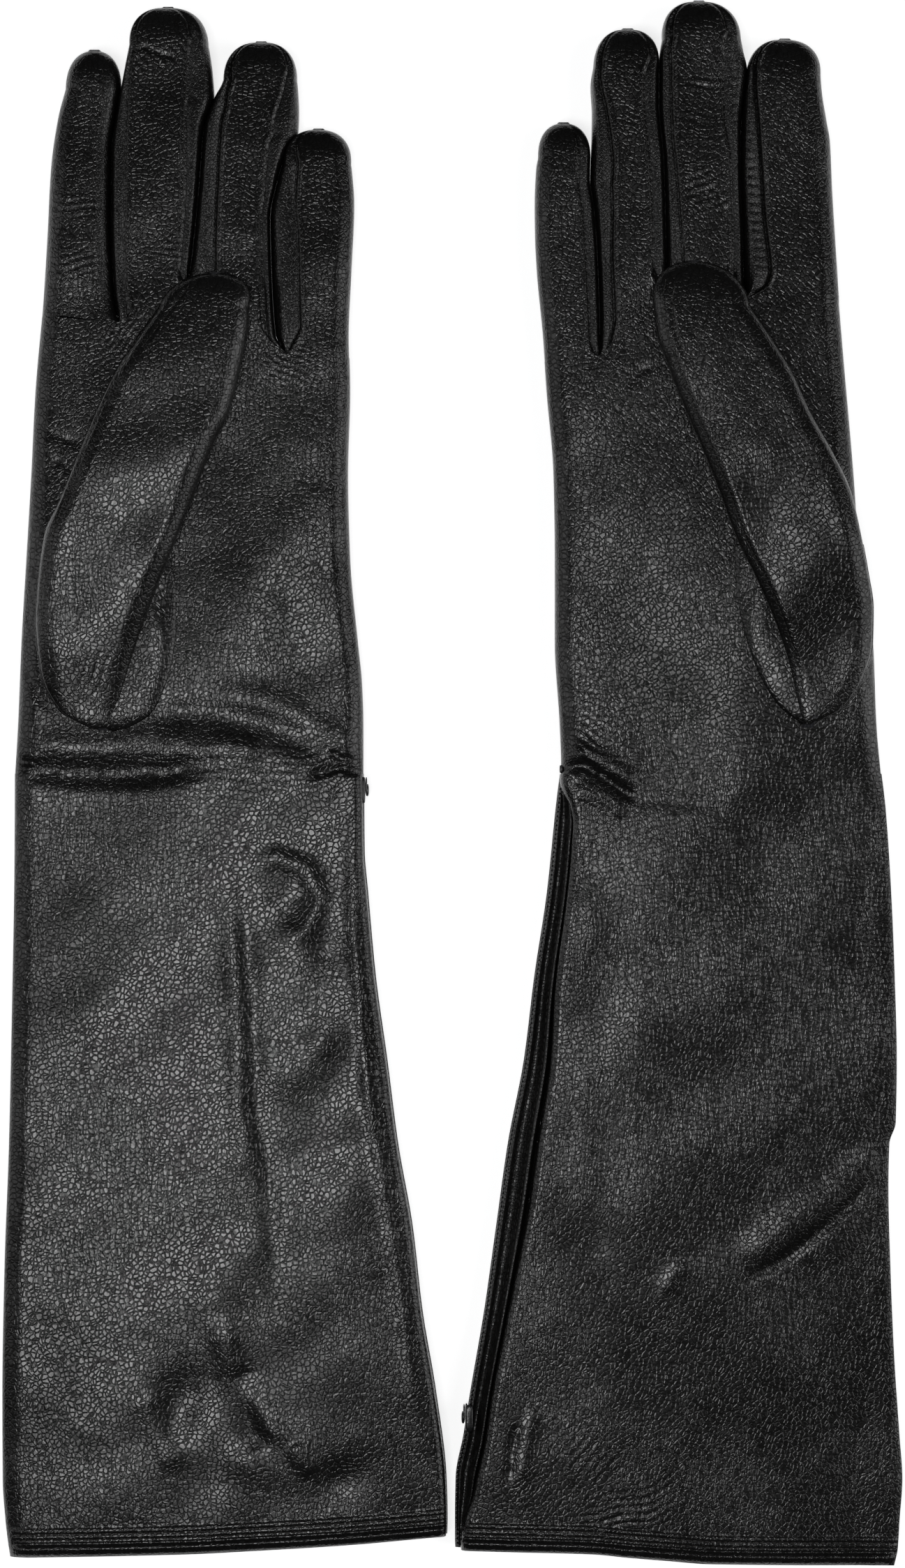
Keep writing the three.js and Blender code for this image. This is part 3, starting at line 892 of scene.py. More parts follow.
def left_pattern() -> GlovePattern:
    """The left glove: smooth and full, its sleeve rippled on the little finger's side.

    Returns:
        The pattern.
    """
    index_middle = ((131.8, 95.3), (141.8, 96.9), (162.4, 97.7), (180.2, 97.6), (196, 95.4), (206, 93.6))
    middle_ring = ((143.8, 75.7), (148.8, 74.9), (169.8, 72.7), (188, 71.1), (196.4, 68.2))
    ring_little = (
        (123.4, 47.6), (128.6, 50.6), (143.4, 51.7), (161.8, 52.2), (172.8, 50.1), (182.6, 46.6),
        (186, 44.2),
    )
    fingers = {
        "index": FingerPattern(
            Side(index_middle, ((131, 3.4), (150, 4.2), (206, 4.0)), 131.8, 0.0),
            Side(
                (
                    (100, 120), (118.4, 118.9), (137.6, 117.3), (156.8, 116.1), (176, 115.1),
                    (190.4, 113.1), (200, 110.6),
                )
            ),
            (131.8, 133.8),
            (102.6, 210.1),
            199.0,
        ),
        "middle": FingerPattern(
            Side(
                (*middle_ring, (203, 68.6), (209.6, 69.5), (213, 70.2)),
                ((143, 2.5), (169.8, 3.4), (188, 4.8), (195.4, 7.2), (206, 6.2), (213, 4.4)), 143.8,
            ),
            Side(
                (*index_middle, (212, 92.4)),
                ((131, 3.0), (150, 3.6), (180, 4.0), (196, 2.4), (206, 1.4)), 131.8,
            ),
            (143.8, 131.8),
            (81.5, 222.4),
            211.5,
        ),
        "ring": FingerPattern(
            Side(
                (*ring_little, (192, 43.9), (200, 44.3), (204, 45)),
                ((124, 2.2), (146, 2.2), (165, 2.2), (177, 4.1), (188, 7.0), (198, 4.1), (205, 2.0)),
                123.4,
            ),
            Side(
                (*middle_ring, (200, 66.2), (204, 64.8)),
                ((144, 7.6), (155.6, 6.1), (170, 5.3), (192, 4.6), (200, 2.4), (206, 1.6)), 143.8, 1.6,
            ),
            (123.4, 143.8),
            (54.8, 212.5),
            201.5,
        ),
        "little": FingerPattern(
            Side(
                (
                    (100, 29.6), (112.8, 29.3), (128, 29.7), (147, 28.9), (166, 28.1), (176, 28.8),
                    (181, 29.6),
                )
            ),
            Side(ring_little, ((124, 2.2), (131, 7.1), (155, 7.8), (174, 5.1), (184, 2.3)), 123.4, 1.3),
            (122.0, 123.4),
            (38.4, 187.5),
            177.5,
        ),
    }
    thumb = ThumbPattern(
        inner=(
            (15.4, 97.8), (19.4, 97.2), (25, 94.9), (36.4, 91.3), (53.4, 85.1), (66.8, 79.7),
            (80.2, 74.3), (96.2, 68.1), (105.2, 63.7), (119.4, 60.1), (132.8, 57.9), (137, 58.0),
        ),
        outer=(
            (14.8, 98.6), (16.4, 104.4), (21.2, 111.9), (32, 117.1), (46.2, 118.5), (57.8, 117.7),
            (71.2, 115.9), (80.2, 111.9), (96.2, 105.5), (115.8, 96.7), (127.4, 89.5), (137, 82.4),
        ),
        oval_inner=(
            (15, 93), (16.4, 89.5), (24.8, 83.3), (35.6, 79.9), (44.4, 78.9), (55.2, 78.9), (66, 80.8),
        ),
        tip=(67.5, 145.2),
        seam_line=(
            (76.5, 143), (84.5, 134), (91.5, 123.4), (97.5, 110.8), (103.4, 98.2), (110, 80), (114.2, 68),
            (116.6, 56), (116.9, 44),
        ),
        seam_inside=((74.5, 141.6), (80.6, 133.4), (87.6, 124.2)),
    )
    marks = (
        Unevenness(),
        Camber(56, 0.00032),
        Dome((60, -110), (26, 95), 0.26, 4),
        # wrist: a pleat over a deep crease, and cracks at the edges
        Fold(((89, 6.2), (78, 9.2), (66, 10.4), (52, 8)), 0.74, 4.08),
        Fold(((126, 4.2), (110, 2.6), (95, 2.4), (80, 3.4), (68, 6.4)), -0.99, 4.32),
        Fold(((125, 0.4), (105, -1.6), (86, -1.2), (67, 1.8)), 0.37, 2.88),
        Fold(((127, 7.6), (117, 4.8)), -0.56, 0.96),
        Fold(((127, 3.6), (118, 5.2)), 0.43, 0.96),
        Fold(((123, 12), (100, 10.0), (86, 12.6), (70, 15)), 0.5, 4.08),
        Fold(((90, 20), (70, 20), (52, 17), (36, 8), (26, 3)), -0.62, 4.32),
        Fold(((72, 26), (54, 24), (38, 16), (28, 9)), 0.43, 4.08),
        Dome((38, 9), (9, 7), 0.59, -20),
        Fold(((24, 3), (32, 4.6), (42, 2.2)), -0.56, 1.2),
        Fold(((24, 6.4), (31, 7.0), (36, 9.6)), -0.43, 0.96),
        Pucker((70, 5), (22, 9), 2.6, 0.17, 6),
        Pucker((112, 6), (14, 9), 2.0, 0.18, -4),
        Pucker((36, 6), (12, 8), 2.4, 0.18, -14),
        # sleeve
        Fold(((28.6, -2), (28.4, -40), (24, -90), (17, -130), (9, -190)), 0.43, 1.92),
        Fold(((60.9, -26.4), (57.3, -62), (56.5, -93.4), (52.5, -112.4), (50.3, -148)), -0.43, 3.12),
        Fold(((64, -30), (61, -64), (60, -95), (56, -115)), 0.43, 3.6),
        Fold(((56.5, -24), (50, -21), (42, -24), (38, -32), (42, -42), (50, -44)), 0.62, 3.12),
        Dome((46.7, -32.8), (6.5, 6.5), -0.52),
        Dome((35.9, -47.8), (5, 7), -0.72),
        Pucker((38, -54), (14, 7), 2.2, 0.21, 10),
        Dome((37.7, -74.6), (5, 6), 0.59),
        Dome((44.9, -82.6), (7, 6), 0.45),
        Dome((32.3, -123), (9, 10), 0.59),
        Dome((40, -104), (8, 16), -0.33, 10),
        Dome((65.5, -145.4), (9, 10), 0.45),
        Dome((78.9, -177.6), (7, 10), -0.85, 10),
        Fold(((67.3, -150), (62, -170), (52, -184), (44.9, -189.2)), 0.81, 4.08),
        Fold(((62, -165), (58.3, -178.4), (55, -192)), -0.74, 3.84),
        Dome((58.3, -193.6), (6, 6), 0.65),
        Fold(((46, -188), (43, -193), (39.5, -197)), 0.62, 2.64),
        Dome((33.3, -199), (7, 6), -0.72),
        Fold(((88, -172), (84, -186), (78, -197)), 0.5, 3.6),
        Pucker((45, -150), (22, 14), 3.2, 0.12, 40),
        Pucker((92, -70), (30, 40), 1.9, 0.04, 88),
        # palm and fingers
        Fold(((121, 74), (118.7, 66.8), (120.9, 53), (122.1, 33), (117, 24), (112, 18.5)), -0.5, 1.68),
        Fold(((117, 101), (112, 99), (106, 97)), -0.19, 1.2),
        Fold(((115, 93), (109, 90), (104, 85)), -0.19, 1.68),
        Dome((52, 62), (14, 26), 0.39, 20),
        Dome((42, 36), (10, 18), -0.33, -10),
        Dome((58, 40), (10, 16), 0.33),
        Pucker((47, 120), (8, 6), 1.9, 0.24, 30),
        Pucker((94, 126), (7, 6), 1.7, 0.24, -50),
        Pucker((83, 209), (7, 9), 2.1, 0.18, 65),
        Fold(((91.5, 209.4), (88, 210.4), (83.5, 208.6), (78.5, 207.0)), -0.28, 0.6),
        Pucker((51.5, 193), (4.5, 12), 1.6, 0.18, 82),
        Pucker((34, 165), (5, 10), 1.8, 0.13, 70),
        Pucker((107, 165), (9, 4), 2.3, 0.15, 4),
        Pucker((108, 148), (9, 4), 2.3, 0.15, -6),
        Pucker((81, 152), (6, 5), 2.0, 0.15, 20),
        Dome((60, 163), (2.6, 30), 0.23, -4),
    )
    return GlovePattern(
        hand=Hand.LEFT,
        sleeve_outer=(
            (-224, 126.3), (-217, 127.4), (-211, 128.1), (-199, 128.9), (-175, 129), (-139, 128.4),
            (-103, 127.1), (-67, 126.3), (-19, 125.5), (5, 125.4),
        ),
        sleeve_inner=(
            (-224, 2.2), (-211, 1.4), (-199, 1.7), (-175, 4.6), (-151, 8.6), (-127, 11.4), (-103, 15.6),
            (-79, 18.7), (-55, 22), (-31, 24.2), (-19, 25.2), (5, 25.4),
        ),
        hem=((0, -215.2), (24, -217.2), (58, -219.2), (79, -220.2), (128, -221.3)),
        front_step=((-225, 0.3), (10, 0.3)),
        palm_outer=(
            (0, 125.5), (16.8, 124.5), (40.8, 123.5), (64.8, 122.1), (88.8, 120.7), (112.8, 119.5),
            (137.6, 117.3),
        ),
        palm_inner=(
            (0, 25.5), (16.8, 25.5), (28.8, 25.9), (40.8, 27.1), (64.8, 29.3), (88.8, 29.9),
            (112.8, 29.3), (128, 29.7),
        ),
        fingers=fingers,
        thumb=thumb,
        marks=marks,
    )


def right_pattern() -> GlovePattern:
    """The right glove: flatter, its zip edge turned up and a long fold across the sleeve.

    Returns:
        The pattern.
    """
    little_ring = ((122.4, 41.9), (125, 42.2), (148.8, 41.6), (164.8, 40.5), (172.8, 39.4), (184.6, 39.8))
    ring_middle = ((143.8, 61.7), (148.8, 61.3), (177.8, 60.5), (195.4, 59.1), (207.6, 59.2))
    middle_index = ((139.2, 83.9), (143.2, 83.4), (158.8, 82.9), (176.8, 82.3), (188.8, 82.7), (204.4, 84.4))
    fingers = {
        "index": FingerPattern(
            Side(
                (*middle_index, (207, 85.2)),
                (
                    (139, 2.2), (142, 5.7), (147, 7.3), (162, 6.1), (174, 5.8), (189, 4.4), (201, 2.4),
                    (207, 1.8),
                ),
                139.2, 2.0,
            ),
            Side(
                (
                    (100, 113.8), (105.2, 113.3), (126.4, 111.6), (146.8, 110.3), (170.8, 108.8),
                    (184, 108.2), (190, 107.2), (199, 105.8), (205, 105.4),
                )
            ),
            (139.2, 139.8),
            (95.2, 213.3),
            203.0,
        ),
        "middle": FingerPattern(
            Side(
                (*ring_middle, (211, 59.6), (215, 60.3)),
                ((144, 4.9), (169, 3.5), (184, 2.8), (192, 3.2), (205, 3.0), (211, 2.4)), 143.8, 1.3,
            ),
            Side(
                (*middle_index, (209.8, 83.3), (214.4, 82.4)),
                (
                    (139, 2.3), (144, 3.1), (159, 2.6), (177, 2.6), (189, 4.6), (204, 6.8), (210, 5.5),
                    (215, 3.6),
                ),
                139.2,
            ),
            (143.8, 139.2),
            (70.6, 224.2),
            213.5,
        ),
        "ring": FingerPattern(
            Side(
                (*little_ring, (192, 39.9), (200, 39.5), (206, 40.4)),
                (
                    (122, 2.4), (126, 2.8), (133, 4.0), (149, 3.8), (165, 5.0), (176, 6.1), (184, 5.2),
                    (192, 3.9), (205, 1.8),
                ),
                122.4, 1.5,
            ),
            Side((*ring_middle,), ((144, 3.7), (160, 3.5), (175, 3.8), (202, 4.1), (208, 2.4)), 143.8),
            (122.4, 143.8),
            (50.2, 216.2),
            205.5,
        ),
        "little": FingerPattern(
            Side(
                (
                    (100, 28), (112.8, 26.9), (128, 25.9), (147, 24.1), (157, 23.6), (166, 23.5),
                    (176, 23.9), (181, 24.8),
                )
            ),
            Side(little_ring, ((122, 2.2), (130, 2.8), (167, 3.3), (186, 3.2)), 122.4),
            (121.0, 122.4),
            (31.8, 189.3),
            179.5,
        ),
    }
    thumb = ThumbPattern(
        inner=(
            (16.2, 100.4), (22.8, 98.6), (35.2, 95.7), (46.8, 91.5), (58.4, 86.5), (70, 80.7),
            (83.4, 75.7), (95.8, 70.7), (107.4, 65.7), (119.8, 60.9), (127.4, 58.1), (137.4, 56.9),
        ),
        outer=(
            (15, 100), (16.6, 102), (21.2, 110.5), (29.4, 116.3), (39.4, 119.3), (50.2, 119.5),
            (60.2, 118.1), (73.4, 115.6), (83.4, 113.1), (94.2, 108.1), (104.8, 102.3), (117.4, 96.5),
            (126.4, 91.1), (138, 83.2),
        ),
        oval_inner=(
            (16.5, 99), (17.8, 97.6), (24.4, 91.5), (33.6, 86.5), (43.6, 83.3), (54.4, 81.1),
            (68.4, 80.6),
        ),
        tip=(68.6, 148.6),
        seam_line=(
            (60.5, 143.4), (59.6, 137), (60.8, 127.4), (63.6, 119.4), (68.2, 107), (73.2, 95.4),
            (78.2, 83), (83.2, 69.6), (89, 58), (94, 46.4), (97.8, 35), (100.2, 24),
        ),
        seam_inside=((63, 141), (62.2, 135.6), (63.5, 127), (66, 120)),
    )
    marks = (
        Unevenness(waves=((50, 0.16), (27, 0.06), (13, 0.018), (7, 0.009)), seed=SEED + 5),
        Camber(20, 0.00042),
        # wrist: a crease running down from the inner edge, wrinkled round its start
        Fold(((31, 4.4), (37.7, 5.4), (45, 0.6), (53.3, -5.2)), -0.93, 1.56),
        Fold(((32, 8), (38, 9), (46, 4.6), (54, -0.6)), 0.62, 2.4),
        Fold(((34, -1), (42, -3.6), (50, -9.6)), 0.56, 2.64),
        Fold(((50, -3), (70, -6), (92, -12)), -0.22, 2.64),
        Pucker((38, 10), (12, 10), 2.2, 0.27, -24),
        Pucker((46, -8), (12, 8), 2.1, 0.24, -30),
        Pucker((34, 26), (8, 14), 2.3, 0.13, -10),
        Pucker((88, -6), (22, 9), 2.6, 0.07, -12),
        # sleeve
        Fold(((124.5, -110.6), (110, -124), (96, -135), (83.7, -142.6)), -0.68, 1.8),
        Fold(((127, -101), (118, -109), (106, -120), (92, -130), (80, -136)), 0.81, 5.04),
        Fold(((127, -66), (121, -86), (110, -104)), 0.43, 8.4),
        Fold(((69, -138), (64.1, -139), (60, -146)), 0.37, 2.4),
        Dome((44, -62), (7, 22), -0.29, -6),
        Dome((40, -40), (4, 7), 0.39),
        Dome((33, -34), (3.5, 7), 0.33),
        Dome((38, -102), (4, 16), 0.29),
        Dome((47, -118), (6, 14), -0.26, 6),
        Dome((40, -132), (5, 12), -0.33, 20),
        Fold(((19.1, -181.8), (17, -190), (16.1, -199.6)), -0.37, 1.2),
        Fold(((23, -178), (21, -190), (20, -200)), 0.31, 1.92),
        Pucker((52, -206), (12, 6), 2.2, 0.33, 14),
        Pucker((38, -190), (9, 12), 2.6, 0.15, 60),
        Pucker((78, -86), (26, 18), 2.3, 0.05, 10),
        # palm and fingers
        Dome((50, 84), (10, 26), 0.33, -16),
        Dome((38, 110), (8, 16), 0.26),
        Dome((52, 40), (14, 16), -0.2),
        Fold(((49.5, 112.6), (52.5, 117.5), (58.2, 119.6)), -0.22, 1.08),
        Pucker((41.5, 118), (6, 4), 1.8, 0.12, 20),
        Pucker((72, 200), (6.5, 1.6), 2.4, 0.3, 3),
        Pucker((70, 190), (7, 3.2), 2.4, 0.13, -5),
        Pucker((72, 183.4), (6, 1.8), 2.4, 0.12, 8),
        Pucker((76, 208), (3, 7), 1.9, 0.21, -62),
        Pucker((51.5, 203), (3, 9), 1.8, 0.17, -60),
        Pucker((71.5, 170), (6, 8), 2.4, 0.15, 30),
        Pucker((84.9, 172), (1.8, 28), 2.6, 0.3, 8),
        Pucker((103, 182), (4, 16), 1.5, 0.08, 84),
        Dome((31.5, 186), (1.4, 3), 0.26),
    )
    return GlovePattern(
        hand=Hand.RIGHT,
        sleeve_outer=(
            (-225, 126.3), (-219, 127.6), (-211, 128.1), (-199, 128.9), (-187, 128.1), (-163, 126.5),
            (-139, 125.5), (-115, 124.9), (-103, 125.2), (-97, 127.0), (-79, 127.3), (-55, 126.7),
            (-31, 125.7), (-7, 124.1), (5, 122.7),
        ),
        sleeve_inner=(
            (-225, 1.6), (-217, 0.7), (-211, 0.7), (-199, 0.9), (-187, 3.1), (-175, 5), (-151, 9.1),
            (-127, 12.5), (-103, 15.9), (-79, 20.5), (-55, 23.5), (-31, 27.1), (-7, 29.6), (5, 31),
        ),
        hem=((0, -219.2), (39, -220.2), (50, -221.2), (63, -222.2), (76, -223.2), (128, -224)),
        front_step=(
            (-222, 1.4), (-211, 2.4), (-203, 5.0), (-193, 6.2), (-175, 6), (-156, 6.4), (-115, 8.4),
            (-102, 8.3), (-84, 7.6), (-60, 6.1), (-12, 5.2), (-3, 2.6), (3, 0.4),
        ),
        palm_outer=(
            (0, 123), (16.8, 121.5), (40.8, 120.5), (64.8, 116.7), (88.8, 114.9), (112.8, 112.9),
            (137.6, 111),
        ),
        palm_inner=(
            (0, 31), (4.8, 31.1), (16.8, 30.7), (40.8, 29.3), (64.8, 29.3), (88.8, 28.9), (112.8, 26.9),
            (128, 25.9),
        ),
        fingers=fingers,
        thumb=thumb,
        marks=marks,
    )


# =============================================================== thread and small hardware
def pebble(
    centre: Sequence[float], half: Sequence[float], power: float = 3.5
) -> tuple[np.ndarray, np.ndarray]:
    """A rounded block: a superellipsoid on a grid of two angles.

    Args:
        centre: its middle, (u, v, z) in millimetres.
        half: half its size each way.
        power: 2 is an ellipsoid, and greater is closer to a box.

    Returns:
        Points and faces, closed at both poles.
    """
    around, up = np.meshgrid(np.linspace(0, math.tau, 25), np.linspace(-math.pi / 2, math.pi / 2, 13))

    def blunt(a: np.ndarray) -> np.ndarray:
        """Sine or cosine drawn towards a square wave."""
        return np.sign(a) * np.abs(a) ** (2 / power)

    x = blunt(np.cos(up)) * blunt(np.cos(around))
    y = blunt(np.cos(up)) * blunt(np.sin(around))
    z = blunt(np.sin(up))
    return as_cloud((x, y, z)) * half + centre, grid_faces(*x.shape)


def stitch_row(path: np.ndarray, pitch: float, length: float, radius: float, across: bool = False) -> tuple:
    """Evenly spaced short bars of thread along a path.

    Each bar is a six-sided spindle of four rings, laid along the path or standing across it.

    Args:
        path: (u, v, z) points close together.
        pitch: distance from bar to bar.
        length: a bar's length.
        radius: a bar's thickest radius.
        across: whether the bars stand upright, as the teeth of a coil do.

    Returns:
        Points and faces of all the bars.
    """
    steps = np.linalg.norm(np.diff(path, axis=0), axis=1)
    run = np.concatenate([[0], np.cumsum(steps)])
    at = np.arange(pitch / 2, run[-1], pitch)
    centre = np.stack([np.interp(at, run, path[:, k]) for k in range(3)], axis=1)
    ahead = np.stack([np.interp(at + 0.3, run, path[:, k]) for k in range(3)], axis=1)
    back = np.stack([np.interp(at - 0.3, run, path[:, k]) for k in range(3)], axis=1)
    way = ahead - back
    way /= np.linalg.norm(way, axis=1)[:, None]
    if across:
        way = np.tile([0.0, 0.0, 1.0], (len(at), 1))
    side = np.cross(way, [0.0, 1.0, 0.0] if across else [0.0, 0.0, 1.0])
    side /= np.linalg.norm(side, axis=1)[:, None]
    up = np.cross(side, way)
    ring_at = np.array([-0.5, -0.36, 0.36, 0.5]) * length
    ring_size = np.array([0.05, 1.0, 1.0, 0.05]) * radius
    turn = np.linspace(0, math.tau, 7)
    offset = (
        way[:, None, None] * ring_at[None, :, None, None]
        + side[:, None, None] * (ring_size[None, :, None, None] * np.cos(turn)[None, None, :, None])
        + up[:, None, None] * (ring_size[None, :, None, None] * np.sin(turn)[None, None, :, None])
    )
    cloud = (centre[:, None, None] + offset).reshape(-1, 3)
    one = grid_faces(len(ring_at), len(turn))
    first_point = np.arange(len(at)) * len(ring_at) * len(turn)
    faces = (one[None] + first_point[:, None, None]).reshape(-1, 4)
    return cloud, faces[:, ::-1]


def gathered(parts: Sequence[tuple[np.ndarray, np.ndarray]]) -> tuple[np.ndarray, list]:
    """Several (points, faces) as one.

    Args:
        parts: (points, faces) of each.

    Returns:
        All points, and all faces with their corners renumbered.
    """
    clouds, faces, start = [], [], 0
    for cloud, face in parts:
        clouds.append(cloud)
        faces += (np.array(face) + start).tolist()
        start += len(cloud)
    return np.vstack(clouds), faces


@dataclass(frozen=True)
class Hinge:
    """One of the frame's hinges, with the stretch of leather on each side of it."""

    name: str
    before: float  # mm of leather on the parent's side
    after: float

    def bend(self, piece: bpy.types.Object) -> None:
        """Bakes the piece's placement into its mesh; the piece is not bent.

        Args:
            piece: a piece that lies on both bodies.
        """
        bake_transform(piece)


def thicken(piece: bpy.types.Object, name: str, wall: float) -> None:
    """Gives a surface a wall of so many millimetres, behind its faces.

    Args:
        piece: the surface.
        name: name of its modifier.
        wall: the wall's thickness.
    """
    solid = piece.modifiers.new(name, "SOLIDIFY")
    solid.thickness = wall * MM
    solid.offset = -1


def line_silk(piece: bpy.types.Object) -> None:
    """Gives a lining its thickness, inwards, and its silk."""
    thicken(piece, "silk", 0.4)
    WARDROBE.dress(piece, Slot.SILK)


def report(piece: bpy.types.Object) -> None:
    """Logs a finished piece and its size."""
    log.info("%s: %d faces", piece.name, len(piece.data.polygons))


# =============================================================== fingers
@dataclass
class Finger:
    """One finger: sheath, side strips, seam stitching and lining."""

    name: str
    glove: GlovePattern
    relief: Relief
    rows: int = 150
    tip_rows: int = 26
    edge_gap: float = 0.03  # mm from the edge to the line shared with the next finger
    strip_opens: float = 4.0  # mm from the crotch to where a strip has its full width
    edge_drops: float = 2.4  # mm over which the edge drops to the glove's middle
    seam_starts: float = 2.0  # mm over which the seam and the roll come up
    strip_end: float = 8.0  # mm from the tip where the side strips run out
    pitch: float = 1.5

    @property
    def pattern(self) -> FingerPattern:
        """This finger's own pattern."""
        return self.glove.fingers[self.name]

    @property
    def prefix(self) -> str:
        """How its pieces' names begin."""
        return f"{self.glove.hand.word}_{self.name}"

    def rim(self, side: Side, root: float, way: int, share: np.ndarray) -> Rim:
        """The straight part of one side, from the root to where the tip starts.

        The strip opens from nothing at the crotch along a quarter circle, and the edge
        drops to the middle of the glove's height within a few millimetres.

        Args:
            side: the side's pattern.
            root: v where it begins.
            way: 1 where the finger lies towards greater u from the edge, -1 otherwise.
            share: rows, 0 at the root and 1 where the tip starts.

        Returns:
            The side's rim.
        """
        v = root + (self.pattern.round_from - root) * share
        u = rail(side.edge, v) + way * self.edge_gap
        band = rail(side.band, v)
        if side.parts_at is None:
            return Rim(u, v, band, np.ones_like(v), np.zeros_like(v))
        past = np.clip(v - side.parts_at, 0, None)
        band = np.maximum(band * np.sqrt(1 - (1 - np.clip(past / self.strip_opens, 0, 1)) ** 2), 0.15)
        opening = 1 - np.exp(-past / self.edge_drops)
        return Rim(u, v, band, opening, side.roll * np.clip(past / self.seam_starts, 0, 1))

    def rims(self, rows: int, tip_rows: int) -> tuple[Rim, Rim, np.ndarray]:
        """Both sides with the rounded tip, and how full each row is.

        Over the tip the width and the fullness fall along a superellipse.

        Args:
            rows: rows from the root to the tip.
            tip_rows: rows over the tip.

        Returns:
            Inner rim, outer rim and fullness.
        """
        p = self.pattern
        share = np.linspace(0, 1, rows)
        inner = self.rim(p.inner, p.root[0], 1, share)
        outer = self.rim(p.outer, p.root[1], -1, share)
        t = np.sin(np.linspace(0, math.pi / 2, tip_rows + 1)[1:] * 0.985)
        width = round_off(t)
        v = p.round_from + (p.tip[1] - p.round_from) * t
        middle = (inner.u[-1] + outer.u[-1]) / 2
        half = (outer.u[-1] - inner.u[-1]) / 2
        centre = middle + (p.tip[0] - middle) * t
        closed = []
        for rim, side, way in ((inner, p.inner, -1), (outer, p.outer, 1)):
            band = rail(side.band, v)
            closed.append(
                Rim(
                    np.append(rim.u, centre + way * half * width),
                    np.append(rim.v, v),
                    np.append(rim.band, band * (0.3 + 0.7 * width)),
                    np.append(rim.opening, np.ones_like(v)),
                    np.append(rim.seam, rim.seam[-1] * width),
                )
            )
        room = 0.46 * (closed[1].u - closed[0].u)
        for rim in closed:
            rim.band = np.minimum(rim.band, room)
        return closed[0], closed[1], np.append(np.ones(rows), width**0.75)

    def make(self) -> list[bpy.types.Object]:
        """Makes the finger's pieces and returns them.

        Returns:
            The new pieces.
        """
        inner, outer, plump = self.rims(self.rows, self.tip_rows)
        tube = Tube(inner, outer, self.relief, plump, top_columns=46)
        rows, cols = tube.points[0].shape
        keep = np.ones((rows - 1, cols - 1), bool)
        _, top_end, base_start, base_end = tube.seam_columns
        spans = {"outer": slice(top_end, base_start), "inner": slice(base_end, cols - 1)}
        made = []
        for word, side in (("outer", self.pattern.outer), ("inner", self.pattern.inner)):
            if side.parts_at is None:
                continue
            strip = np.zeros_like(keep)
            last = int(np.sum(inner.v < self.pattern.tip[1] - self.strip_end))
            strip[:last, spans[word]] = True
            keep &= ~strip
            piece = tube.piece(f"{self.prefix}_strip_{word}_leather", self.glove.hand, strip)
            WARDROBE.dress(piece, Slot.FORK)
            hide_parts(f"{self.prefix}_strip_{word}")
            made.append(piece)
        sheath = tube.piece(f"{self.prefix}_leather", self.glove.hand, keep, "last")
        WARDROBE.dress(sheath, Slot.OUTER)
        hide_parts(f"{self.prefix}_sheath")
        made.append(sheath)
        made.append(self.stitching(inner, outer))
        made.append(self.lining())
        hinge = Hinge(f"{self.prefix}_curl", 9.0, 9.0)
        for piece in made:
            hinge.bend(piece)
            report(piece)
        return made

    def stitching(self, inner: Rim, outer: Rim) -> bpy.types.Object:
        """Running stitches beside each strip's seam, on the palm side.

        Args:
            inner: the finger's inner rim.
            outer: its outer rim.

        Returns:
            The new piece.
        """
        rows = []
        for rim, side, way in ((inner, self.pattern.inner, 1), (outer, self.pattern.outer, -1)):
            if side.parts_at is None:
                continue
            ok = (rim.v > side.parts_at + 1.0) & (rim.v < self.pattern.tip[1] - 5)
            u, v = (rim.u + way * (rim.band + 0.75))[ok], rim.v[ok]
            z = self.relief.height(u, v) + 0.14 * side.roll
            rows.append(stitch_row(np.stack([u, v, z], axis=1), self.pitch, 0.95, 0.13))
        cloud, faces = gathered(rows)
        piece = make_piece(f"{self.prefix}_stitching", self.glove.hand, cloud, faces)
        WARDROBE.dress(piece, Slot.OUTER, THREAD)
        return piece

    def lining(self) -> bpy.types.Object:
        """The lining: the same tube drawn in, with fewer rows, stopping short of the tip.

        Returns:
            The new piece.
        """
        inner, outer, plump = self.rims(30, 7)
        tube = Tube(
            inner,
            outer,
            self.relief,
            plump,
            inset=1.5,
            top_columns=12,
            side_columns=4,
            base_columns=6,
            groove=0,
            roll=0,
        )
        piece = tube.piece(f"{self.prefix}_silk", self.glove.hand, caps="last")
        line_silk(piece)
        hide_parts(f"{self.prefix}_lining")
        return piece


